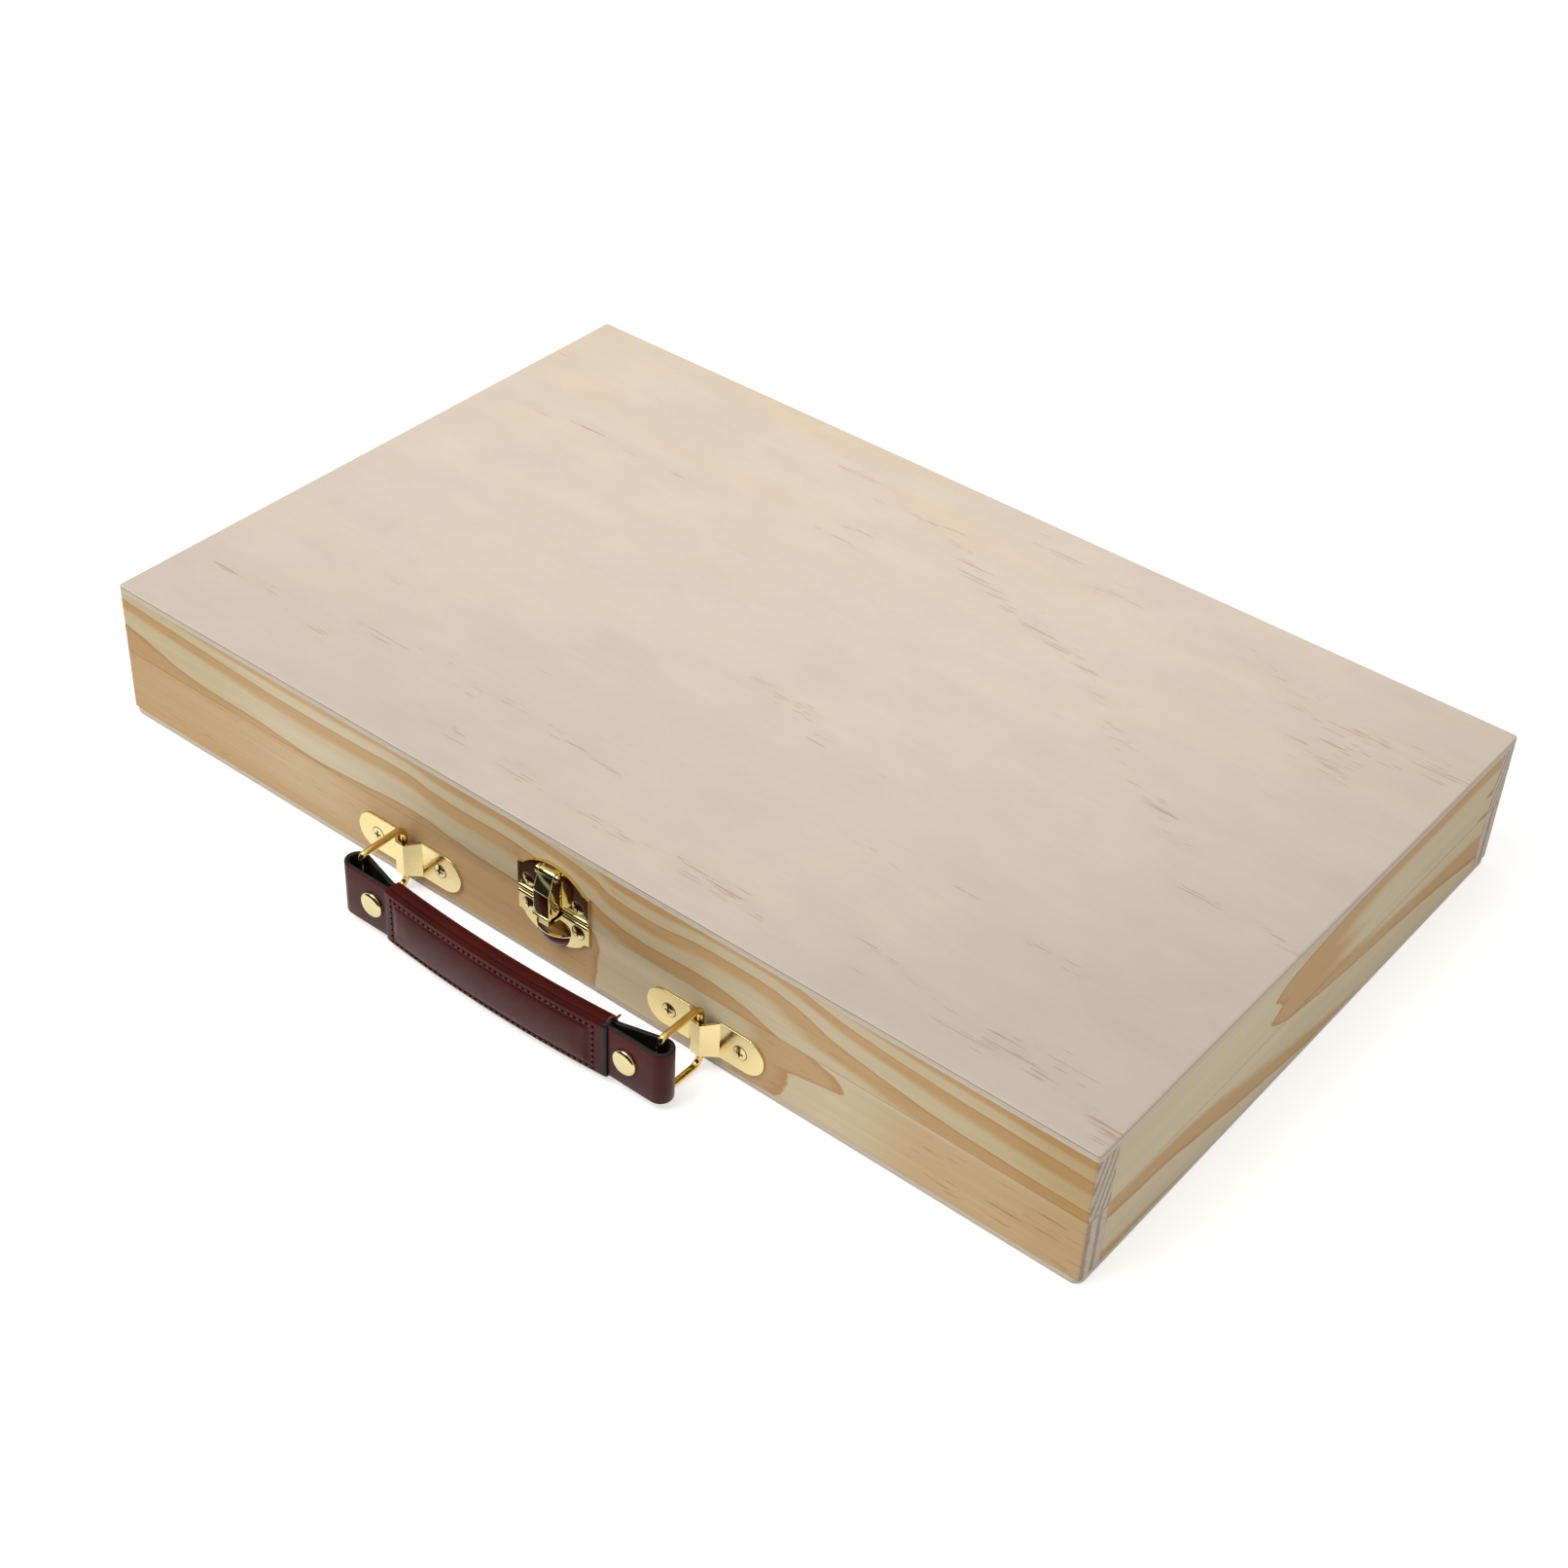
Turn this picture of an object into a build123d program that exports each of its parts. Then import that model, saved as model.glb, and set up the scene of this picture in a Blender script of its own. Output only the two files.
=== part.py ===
from build123d import *
import math
import os

# A flat wooden art box: two shallow trays of pine boards and thin plywood, hinged at the rear.
# Millimetres. The origin is the middle of the underside, +X runs along the long side,
# the handle and clasp are on the front at -Y, and +Z is up.

# Case
CASE_LENGTH = 370.0
CASE_DEPTH = 230.0
CASE_HEIGHT = 50.0
BASE_HEIGHT = 25.0
PANEL_THICKNESS = 2.8
BOARD_THICKNESS = 9.5
LID_GAP = 0.2
CASE_CORNER_RADIUS = 1.2
FOOT_CORNER_RADIUS = 3.2
LID_EDGE_EASE = 0.6
FOOT_EDGE_EASE = 1.2

# Dividers in the base
DIVIDER_THICKNESS = 4.0
DIVIDER_DROP = 3.0
FRONT_TRAY_DEPTH = 78.0
REAR_TRAY_COUNT = 3

# Screws
SHANK_RADIUS = 1.1
HEAD_RADIUS = 2.5
HEAD_RISE = 0.5
HEAD_SEAT = 0.6
SCREW_FIT = 0.03
SCREW_COVER = 2.0
RECESS_SPAN = 2.6
RECESS_WIDTH = 0.6
RECESS_DEPTH = 0.7

# Rings of bent wire
WIRE_RADIUS = 1.1
RING_SETBACK = 8.7
RING_REACH = 17.35
RING_FRONT_BEND = 2.0
RING_BACK_BEND = 3.0
RING_PLAY = 0.4
FLOOR_CLEARANCE = 0.2

# Brackets that hold the rings
BRACKET_LENGTH = 42.6
BRACKET_HEIGHT = 13.0
BRACKET_SHEET = 0.9
BRACKET_SCREW_SPACING = 26.0
BRIDGE_FOOT = 5.6
BRIDGE_TOP = 1.6
BRIDGE_RISE = 4.0
BRIDGE_WAIST = 0.7
BRIDGE_PLAY = 0.25
SHEET_EASE = 0.2

# Leather handle
STRAP_WIDTH = 18.6
LEATHER_THICKNESS = 1.5
CORE_THICKNESS = 1.0
LAYER_GAP = 0.05
LOOP_INNER_RADIUS = 2.5
LOOP_PLAY = 0.3
LOOP_LEAN = 34.0
SLEEVE_LENGTH = 86.0
SLEEVE_THICKNESS = 0.9
SLEEVE_ROUND = 1.2
STRAP_THROAT = 1.0
HANDLE_BOW = 2.0
RIVET_SETBACK = 6.3
RIVET_RADIUS = 4.2
RIVET_RISE = 1.4
RIVET_BRIM = 0.4
RIVET_SHANK_RADIUS = 1.4
RIVET_REAR_RADIUS = 3.6
RIVET_FIT = 0.05

# Clasp
CLASP_X = 0.9
CLASP_WIDTH = 27.2
CLASP_SHEET = 0.8
CLASP_RIM = 0.35
CLASP_RIM_WIDTH = 0.9
CLASP_SCREW_SPACING = 19.0
UPPER_EDGE = 0.35
UPPER_SHOULDER = 10.0
UPPER_CROWN = 15.5
UPPER_STEP = 1.7
UPPER_SCREW_Z = 4.9
LOWER_EDGE = 0.4
LOWER_SHOULDER = 7.7
LOWER_NOTCH = 9.5
LOWER_BELLY = 13.2
LOWER_NOTCH_INSET = 2.9
LOWER_HOLLOW = 0.45
LOWER_SCREW_Z = 4.5
EDGE_BAR_RADIUS = 0.7
EDGE_BAR_REACH = 9.4
POCKET_RADIUS = 6.7
POCKET_RISE = 3.4
POCKET_DROP = 7.8
POCKET_SHEET = 0.7

# Hasp
HASP_WIDTH = 6.0
HASP_SHEET = 0.7
HASP_PIN_RADIUS = 0.8
HASP_BARREL_RADIUS = 1.6
HASP_PIN_Z = 13.6
HASP_CLEARANCE = 0.3
HASP_FACE = 5.4
HASP_KNEE = 8.2
HASP_TIP = 0.8
HASP_LIP = 0.4
HASP_LIP_HEIGHT = 0.7
EAR_THICKNESS = 0.8
EAR_RADIUS = 1.4
EAR_WEB_RISE = 0.5
CATCH_WIDTH = 3.6
CATCH_THICKNESS = 0.8
CATCH_HOOK = 3.3
CATCH_DROP = 3.4
CATCH_PLAY = 0.5

# Hinges
HINGE_SPACING = 220.0
HINGE_WIDTH = 27.0
HINGE_LEAF_HEIGHT = 11.0
HINGE_SHEET = 1.0
HINGE_SCREW_SPACING = 15.0
HINGE_SCREW_Z = 6.9
KNUCKLE_RADIUS = 2.0
KNUCKLE_COUNT = 5
KNUCKLE_GAP = 0.3
KNUCKLE_CLEARANCE = 0.2
HINGE_PIN_RADIUS = 1.0
HINGE_PIN_HEAD = 0.7
PIN_FIT = 0.05

FRONT = -CASE_DEPTH / 2
REAR = CASE_DEPTH / 2
END = CASE_LENGTH / 2
LID_BOTTOM = BASE_HEIGHT + LID_GAP
SPLIT = BASE_HEIGHT + LID_GAP / 2
SCREW_LENGTH = BOARD_THICKNESS - SCREW_COVER

RIVET_SPACING = SLEEVE_LENGTH + 2 * RIVET_SETBACK
RING_SPACING = RIVET_SPACING + 2 * RING_SETBACK
RING_HEIGHT = STRAP_WIDTH + 2 * (RING_PLAY + WIRE_RADIUS)
HANDLE_Z = RING_HEIGHT / 2 + WIRE_RADIUS + FLOOR_CLEARANCE
BRIDGE_OUTSIDE = BRACKET_SHEET + BRIDGE_RISE
RING_PIVOT_Y = FRONT - (BRIDGE_RISE - BRIDGE_PLAY - WIRE_RADIUS)
RING_FRONT_Y = RING_PIVOT_Y - RING_REACH

LOOP_RADIUS = LOOP_INNER_RADIUS + LEATHER_THICKNESS
LOOP_OFFSET = LOOP_INNER_RADIUS - WIRE_RADIUS - LOOP_PLAY
LOOP_X = RING_SPACING / 2 + LOOP_OFFSET * math.cos(math.radians(LOOP_LEAN))
LOOP_Y = RING_FRONT_Y - LOOP_OFFSET * math.sin(math.radians(LOOP_LEAN))
STRAP_FRONT = LOOP_Y - LOOP_RADIUS
STRAP_STACK = 2 * LEATHER_THICKNESS + CORE_THICKNESS + 2 * LAYER_GAP
STRAP_BACK = STRAP_FRONT + STRAP_STACK
STRAP_JOIN = SLEEVE_LENGTH / 2 + STRAP_THROAT

HINGE_AXIS_Y = REAR + KNUCKLE_RADIUS + KNUCKLE_CLEARANCE
HASP_PIN_HEIGHT = SPLIT + HASP_PIN_Z
HASP_PIN_Y = FRONT - CLASP_SHEET - HASP_CLEARANCE - HASP_BARREL_RADIUS

FRONT_FACE = Plane(origin=(0, FRONT, 0), x_dir=(1, 0, 0), z_dir=(0, -1, 0))
REAR_FACE = Plane(origin=(0, REAR, 0), x_dir=(-1, 0, 0), z_dir=(0, 1, 0))


def block(x, y, z):
    """A box between the two values given for each axis."""
    size = [max(pair) - min(pair) for pair in (x, y, z)]
    middle = [sum(pair) / 2 for pair in (x, y, z)]
    return Pos(*middle) * Box(*size)


def rod_x(radius, x0, x1, y, z):
    """A round bar along X."""
    return Pos((x0 + x1) / 2, y, z) * Rot(0, 90, 0) * Cylinder(radius, abs(x1 - x0))


def plate(face, sketch, thickness):
    """A sketch on a plane, drawn out along the plane's normal."""
    return extrude(face * sketch, thickness, dir=face.z_dir)


def dome_arc(radius, low, rise):
    """Half the outline of a dome that stands on low, from its rim to its crown."""
    sphere = (radius**2 + rise**2) / (2 * rise)
    middle = low + rise - sphere + math.sqrt(sphere**2 - radius**2 / 4)
    return ThreePointArc((radius, low), (radius / 2, middle), (0, low + rise))


# Screws

def screw(sheet):
    """A raised countersunk screw that stands along +Z, seated in a sheet of the given thickness."""
    top = sheet + HEAD_RISE
    shank = [(0, -SCREW_LENGTH), (SHANK_RADIUS, -SCREW_LENGTH + SHANK_RADIUS)]
    seat = [(SHANK_RADIUS, sheet - HEAD_SEAT), (HEAD_RADIUS, sheet)]
    outline = Polyline(*shank, *seat) + dome_arc(HEAD_RADIUS, sheet, HEAD_RISE)
    outline += Line((0, top), (0, -SCREW_LENGTH))
    body = revolve(Plane.XZ * make_face(outline), Axis.Z)
    for turn in (0, 90):
        slot = Rot(0, 0, turn) * Box(RECESS_SPAN, RECESS_WIDTH, 2 * RECESS_DEPTH)
        body -= Pos(0, 0, top) * slot
    return body


def screw_hole(sheet):
    """The hole that a screw needs in its sheet and in the board behind."""
    radius = SHANK_RADIUS + SCREW_FIT
    outline = Polyline(
        (0, -SCREW_LENGTH - SCREW_FIT),
        (radius, -SCREW_LENGTH - SCREW_FIT),
        (radius, sheet - HEAD_SEAT),
        (HEAD_RADIUS + SCREW_FIT, sheet),
        (HEAD_RADIUS + SCREW_FIT, sheet + HEAD_RISE),
        (0, sheet + HEAD_RISE),
        close=True,
    )
    return revolve(Plane.XZ * make_face(outline), Axis.Z)


def bracket_screw_spots():
    """Where the bracket screws stand on the front face."""
    offsets = (-BRACKET_SCREW_SPACING / 2, BRACKET_SCREW_SPACING / 2)
    return [(side * RING_SPACING / 2 + offset, HANDLE_Z) for side in (-1, 1) for offset in offsets]


def clasp_screw_spots(height):
    """Where a clasp plate's two screws stand on the front face."""
    return [(CLASP_X + side * CLASP_SCREW_SPACING / 2, height) for side in (-1, 1)]


def hinge_screw_spots(up):
    """Where the screws of the lid leaves or the base leaves stand on the rear face."""
    height = SPLIT + up * HINGE_SCREW_Z
    offsets = (-HINGE_SCREW_SPACING / 2, HINGE_SCREW_SPACING / 2)
    return [(side * HINGE_SPACING / 2 + offset, height) for side in (-1, 1) for offset in offsets]


def placed(face, shape, spots):
    """Copies of a shape at spots on a face of the case."""
    return [face.location * Pos(u, v, 0) * shape for u, v in spots]


def drilled(shape, face, sheet, spots):
    """A shape with its screw holes."""
    for hole in placed(face, screw_hole(sheet), spots):
        shape -= hole
    return shape


# Case boards and panels

def long_board(face_y, inside_y, low, high):
    """A front or rear board, which runs the full length of the case."""
    board = block((-END, END), (face_y, inside_y), (low, high))
    corners = board.edges().filter_by(Axis.Z).filter_by_position(Axis.Y, face_y - 0.01, face_y + 0.01)
    return fillet(corners, CASE_CORNER_RADIUS)


def end_board(side, low, high):
    """A short board between the front and rear boards."""
    reach = REAR - BOARD_THICKNESS
    return block((side * (END - BOARD_THICKNESS), side * END), (-reach, reach), (low, high))


def panel(low, corner, ease, outer_face):
    """A plywood sheet as large as the case, with its outer edge eased."""
    sheet = extrude(RectangleRounded(CASE_LENGTH, CASE_DEPTH, corner), PANEL_THICKNESS)
    return Pos(0, 0, low) * fillet(sheet.faces().sort_by(Axis.Z)[outer_face].edges(), ease)


def base_front_wall():
    board = long_board(FRONT, FRONT + BOARD_THICKNESS, PANEL_THICKNESS, BASE_HEIGHT)
    board = drilled(board, FRONT_FACE, BRACKET_SHEET, bracket_screw_spots())
    return drilled(board, FRONT_FACE, CLASP_SHEET, clasp_screw_spots(SPLIT - LOWER_SCREW_Z))


def base_rear_wall():
    board = long_board(REAR, REAR - BOARD_THICKNESS, PANEL_THICKNESS, BASE_HEIGHT)
    return drilled(board, REAR_FACE, HINGE_SHEET, hinge_screw_spots(-1))


def lid_front_wall():
    board = long_board(FRONT, FRONT + BOARD_THICKNESS, LID_BOTTOM, CASE_HEIGHT - PANEL_THICKNESS)
    return drilled(board, FRONT_FACE, CLASP_SHEET, clasp_screw_spots(SPLIT + UPPER_SCREW_Z))


def lid_rear_wall():
    board = long_board(REAR, REAR - BOARD_THICKNESS, LID_BOTTOM, CASE_HEIGHT - PANEL_THICKNESS)
    return drilled(board, REAR_FACE, HINGE_SHEET, hinge_screw_spots(1))


def dividers():
    """One long divider and the cross dividers of the rear trays."""
    inside_x = END - BOARD_THICKNESS
    inside_front = FRONT + BOARD_THICKNESS
    inside_rear = REAR - BOARD_THICKNESS
    height = (PANEL_THICKNESS, BASE_HEIGHT - DIVIDER_DROP)
    long_front = inside_front + FRONT_TRAY_DEPTH
    long_rear = long_front + DIVIDER_THICKNESS
    parts = {"long_divider": block((-inside_x, inside_x), (long_front, long_rear), height)}
    clear = 2 * inside_x - (REAR_TRAY_COUNT - 1) * DIVIDER_THICKNESS
    pitch = clear / REAR_TRAY_COUNT + DIVIDER_THICKNESS
    for number in range(1, REAR_TRAY_COUNT):
        left = -inside_x + number * pitch - DIVIDER_THICKNESS
        across = (left, left + DIVIDER_THICKNESS)
        parts[f"cross_divider_{number}"] = block(across, (long_rear, inside_rear), height)
    return parts


# Brackets and rings

def bridge_profile():
    """The trapezoid that the bracket's sheet is bent into, seen from above: outside and inside."""
    slope = (BRIDGE_FOOT - BRIDGE_TOP) / BRIDGE_RISE
    shift = BRACKET_SHEET * math.hypot(1, slope)
    root = BRIDGE_FOOT + slope * BRACKET_SHEET
    outside = Polygon(
        (-root, 0), (-BRIDGE_TOP, BRIDGE_OUTSIDE), (BRIDGE_TOP, BRIDGE_OUTSIDE), (root, 0), align=None
    )
    top = BRIDGE_FOOT - shift - slope * (BRIDGE_RISE - BRACKET_SHEET)
    foot = root - shift
    inside = Polygon((-foot, 0), (-top, BRIDGE_RISE), (top, BRIDGE_RISE), (foot, 0), align=None)
    return outside, inside


def bracket(x):
    """A stamped plate with round ends and a bridge over the ring's back leg."""
    low = HANDLE_Z - BRACKET_HEIGHT / 2
    outline = Pos(x, HANDLE_Z) * SlotOverall(BRACKET_LENGTH, BRACKET_HEIGHT)
    body = plate(FRONT_FACE, outline, BRACKET_SHEET)
    body = fillet(body.faces().sort_by(Axis.Y)[0].edges(), SHEET_EASE)
    outside, inside = bridge_profile()
    from_above = Plane(origin=(x, FRONT, low), x_dir=(-1, 0, 0), z_dir=(0, 0, 1))
    body += plate(from_above, outside, BRACKET_HEIGHT)
    body -= plate(from_above, inside, BRACKET_HEIGHT)
    arc_radius = (BRIDGE_FOOT**2 + BRIDGE_WAIST**2) / (2 * BRIDGE_WAIST)
    for side in (-1, 1):
        middle = HANDLE_Z + side * (BRACKET_HEIGHT / 2 - BRIDGE_WAIST + arc_radius)
        bite = Pos(x, middle) * Circle(arc_radius)
        body -= plate(FRONT_FACE.offset(BRACKET_SHEET), bite, BRIDGE_OUTSIDE)
    spots = [spot for spot in bracket_screw_spots() if abs(spot[0] - x) < BRACKET_LENGTH / 2]
    return drilled(body, FRONT_FACE, BRACKET_SHEET, spots)


def ring(x):
    """A closed rectangle of bent wire, which turns on its back leg."""
    low = HANDLE_Z - RING_HEIGHT / 2
    high = HANDLE_Z + RING_HEIGHT / 2
    corners = [
        (x, RING_PIVOT_Y, low),
        (x, RING_PIVOT_Y, high),
        (x, RING_FRONT_Y, high),
        (x, RING_FRONT_Y, low),
    ]
    bends = [RING_BACK_BEND, RING_BACK_BEND, RING_FRONT_BEND, RING_FRONT_BEND]
    path = FilletPolyline(*corners, radius=bends, close=True)
    return sweep((path ^ 0) * Circle(WIRE_RADIUS), path)


# Handle

def tangent_point(start, centre, radius, turn):
    """Where the line from start touches a circle, on the side that turn (1 or -1) picks."""
    across, along = centre[0] - start[0], centre[1] - start[1]
    distance = math.hypot(across, along)
    angle = math.atan2(along, across) + turn * math.asin(radius / distance)
    reach = math.sqrt(distance**2 - radius**2)
    return start[0] + reach * math.cos(angle), start[1] + reach * math.sin(angle)


def bowed(front, back):
    """The middle of the handle seen from above, which bows gently away from the case."""
    outline = ThreePointArc((-STRAP_JOIN, front), (0, front - HANDLE_BOW), (STRAP_JOIN, front))
    outline += Line((STRAP_JOIN, front), (STRAP_JOIN, back))
    outline += ThreePointArc((STRAP_JOIN, back), (0, back - HANDLE_BOW), (-STRAP_JOIN, back))
    outline += Line((-STRAP_JOIN, back), (-STRAP_JOIN, front))
    return make_face(outline)


def strap_outline(inset):
    """The strap seen from above, drawn in by an inset: a bowed middle and a teardrop at each end."""
    radius = LOOP_RADIUS - inset
    front = STRAP_FRONT + inset
    back = STRAP_BACK - inset
    touch = tangent_point((STRAP_JOIN, back), (LOOP_X, LOOP_Y), radius, 1)
    corners = [(STRAP_JOIN, front), (LOOP_X, front), (LOOP_X, LOOP_Y), touch, (STRAP_JOIN, back)]
    loop = Polygon(*corners, align=None) + Pos(LOOP_X, LOOP_Y) * Circle(radius)
    return bowed(front, back) + loop + mirror(loop, Plane.YZ)


def around_handle(sketch, width):
    """A plan view drawn out to a width about the handle's height."""
    return plate(Plane.XY.offset(HANDLE_Z - width / 2), sketch, width)


def rivet_holes():
    """The rivet holes through both layers of the strap."""
    radius = RIVET_SHANK_RADIUS + RIVET_FIT
    holes = []
    for side in (-1, 1):
        x = side * RIVET_SPACING / 2
        holes.append(Pos(x, LOOP_Y, HANDLE_Z) * Rot(90, 0, 0) * Cylinder(radius, 4 * LOOP_RADIUS))
    return holes


def handle_strap():
    body = around_handle(strap_outline(0) - strap_outline(LEATHER_THICKNESS), STRAP_WIDTH)
    for hole in rivet_holes():
        body -= hole
    return body


def handle_core():
    """The stiffener between the strap's two layers, inside the sleeve."""
    inset = LEATHER_THICKNESS + LAYER_GAP
    body = around_handle(bowed(STRAP_FRONT + inset, STRAP_BACK - inset), STRAP_WIDTH - 2 * SLEEVE_THICKNESS)
    return body & block((-SLEEVE_LENGTH / 2, SLEEVE_LENGTH / 2), (-CASE_DEPTH, 0), (0, CASE_HEIGHT))


def handle_sleeve():
    inner = around_handle(bowed(STRAP_FRONT - LAYER_GAP, STRAP_BACK + LAYER_GAP), STRAP_WIDTH + 2 * LAYER_GAP)
    wall = LAYER_GAP + SLEEVE_THICKNESS
    outer = around_handle(bowed(STRAP_FRONT - wall, STRAP_BACK + wall), STRAP_WIDTH + 2 * wall)
    flat_ends = outer.faces().sort_by(Axis.Z)
    outer = fillet(
        [
            edge
            for face in (flat_ends[0], flat_ends[-1])
            for edge in face.edges()
            if edge.length > SLEEVE_LENGTH
        ],
        SLEEVE_ROUND,
    )
    trim = block((-SLEEVE_LENGTH / 2, SLEEVE_LENGTH / 2), (-CASE_DEPTH, 0), (-CASE_HEIGHT, CASE_HEIGHT))
    return (outer - inner) & trim


def rivet(side):
    """A domed cap in front, a shank, and a flat cap that lies against the slanting rear layer."""
    x = side * RIVET_SPACING / 2
    start = (STRAP_JOIN, STRAP_BACK)
    touch = tangent_point(start, (LOOP_X, LOOP_Y), LOOP_RADIUS, 1)
    slope = (touch[1] - start[1]) / (touch[0] - start[0])
    rear = STRAP_BACK + slope * (abs(x) - STRAP_JOIN)
    front = STRAP_FRONT - RIVET_FIT
    outline = Polyline((0, 0), (RIVET_RADIUS, 0), (RIVET_RADIUS, RIVET_BRIM))
    outline += dome_arc(RIVET_RADIUS, RIVET_BRIM, RIVET_RISE - RIVET_BRIM)
    outline += Line((0, RIVET_RISE), (0, 0))
    cap = revolve(Plane.XZ * make_face(outline), Axis.Z)
    body = Pos(x, front, HANDLE_Z) * Rot(90, 0, 0) * cap
    shank_end = rear + RIVET_FIT + RIVET_BRIM
    shank = Rot(90, 0, 0) * Cylinder(RIVET_SHANK_RADIUS, shank_end - front)
    body += Pos(x, (shank_end + front) / 2, HANDLE_Z) * shank
    tilt = math.degrees(math.atan(slope))
    rear_cap = Pos(0, RIVET_FIT + RIVET_BRIM, 0) * Rot(90, 0, 0) * Cylinder(RIVET_REAR_RADIUS, 2 * RIVET_BRIM)
    body += Pos(x, rear, HANDLE_Z) * Rot(0, 0, side * tilt) * rear_cap
    return body


# Clasp

def upper_plate_outline():
    """The clasp plate on the lid: square shoulders below an arched crown."""
    half = CLASP_WIDTH / 2
    low, shoulder, crown = SPLIT + UPPER_EDGE, SPLIT + UPPER_SHOULDER, SPLIT + UPPER_CROWN
    chord = half - UPPER_STEP
    base = Polygon((-half, low), (half, low), (half, shoulder), (-half, shoulder), align=None)
    arch = ThreePointArc((-chord, shoulder), (0, crown), (chord, shoulder))
    return base + make_face(arch + Line((chord, shoulder), (-chord, shoulder)))


def lower_plate_outline():
    """The clasp plate on the base: pointed shoulders above a shallow belly."""
    half = CLASP_WIDTH / 2
    top, tip = SPLIT - LOWER_EDGE, SPLIT - LOWER_SHOULDER
    notch = (half - LOWER_NOTCH_INSET, SPLIT - LOWER_NOTCH)
    hollow = ((half + notch[0]) / 2 - LOWER_HOLLOW, (tip + notch[1]) / 2 + LOWER_HOLLOW)
    outline = Polyline((half, tip), (half, top), (-half, top), (-half, tip))
    outline += ThreePointArc((-half, tip), (-hollow[0], hollow[1]), (-notch[0], notch[1]))
    outline += ThreePointArc((-notch[0], notch[1]), (0, SPLIT - LOWER_BELLY), notch)
    outline += ThreePointArc(notch, hollow, (half, tip))
    return make_face(outline)


def edge_bars(height):
    """Two rolled bars along a clasp plate's edge, one each side of the hasp."""
    outer = CLASP_WIDTH / 2 - EDGE_BAR_RADIUS / 2
    bars = []
    for side in (-1, 1):
        ends = CLASP_X + side * (outer - EDGE_BAR_REACH), CLASP_X + side * outer
        bars.append(rod_x(EDGE_BAR_RADIUS, min(ends), max(ends), FRONT - CLASP_SHEET, height))
    return bars


def latch_top_plate():
    outline = upper_plate_outline()
    body = plate(FRONT_FACE, Pos(CLASP_X, 0) * outline, CLASP_SHEET)
    low = SPLIT + UPPER_EDGE
    inner = offset(outline, -CLASP_RIM_WIDTH, kind=Kind.INTERSECTION)
    foot = Pos(0, low) * Rectangle(CLASP_WIDTH - 2 * CLASP_RIM_WIDTH, 2 * UPPER_SHOULDER)
    body += plate(FRONT_FACE, Pos(CLASP_X, 0) * (outline - inner - foot), CLASP_SHEET + CLASP_RIM)
    for bar in edge_bars(low + EDGE_BAR_RADIUS):
        body += bar
    near = HASP_WIDTH / 2 + HASP_CLEARANCE
    for side in (-1, 1):
        across = (CLASP_X + side * near, CLASP_X + side * (near + EAR_THICKNESS))
        body += rod_x(EAR_RADIUS, min(across), max(across), HASP_PIN_Y, HASP_PIN_HEIGHT)
        height = (HASP_PIN_HEIGHT - EAR_RADIUS, HASP_PIN_HEIGHT + EAR_WEB_RISE)
        body += block(across, (FRONT - CLASP_SHEET / 2, HASP_PIN_Y), height)
    reach = CLASP_WIDTH / 2
    bore = rod_x(HASP_PIN_RADIUS + SCREW_FIT, CLASP_X - reach, CLASP_X + reach, HASP_PIN_Y, HASP_PIN_HEIGHT)
    body -= bore
    body = drilled(body, FRONT_FACE, CLASP_SHEET, clasp_screw_spots(SPLIT + UPPER_SCREW_Z))
    wood = block((-END, END), (FRONT, 0), (0, CASE_HEIGHT))
    return body - wood


def latch_lower_plate():
    """The plate on the base, with the domed pocket and the upturned catch pressed out of it."""
    body = plate(FRONT_FACE, Pos(CLASP_X, 0) * lower_plate_outline(), CLASP_SHEET)
    for bar in edge_bars(SPLIT - LOWER_EDGE - EDGE_BAR_RADIUS):
        body += bar
    rim_z = SPLIT - POCKET_DROP
    dome_radius = (POCKET_RADIUS**2 + POCKET_RISE**2) / (2 * POCKET_RISE)
    dome_y = FRONT - CLASP_SHEET - POCKET_RISE + dome_radius
    below = block(
        (CLASP_X - dome_radius, CLASP_X + dome_radius),
        (FRONT, FRONT - dome_radius),
        (rim_z - dome_radius, rim_z),
    )
    body += Pos(CLASP_X, dome_y, rim_z) * Sphere(dome_radius) & below
    body -= Pos(CLASP_X, dome_y, rim_z) * Sphere(dome_radius - POCKET_SHEET) & below
    half = CATCH_WIDTH / 2
    across = (CLASP_X - half, CLASP_X + half)
    nose = FRONT - CLASP_SHEET - HASP_FACE + HASP_SHEET + CATCH_PLAY
    shelf = SPLIT - CATCH_DROP
    body += block(across, (FRONT - CLASP_SHEET / 2, nose), (shelf - CATCH_THICKNESS, shelf))
    body += block(across, (nose + CATCH_THICKNESS, nose), (shelf - CATCH_THICKNESS, shelf + CATCH_HOOK))
    body = drilled(body, FRONT_FACE, CLASP_SHEET, clasp_screw_spots(SPLIT - LOWER_SCREW_Z))
    wood = block((-END, END), (FRONT, 0), (0, CASE_HEIGHT))
    return body - wood


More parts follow.
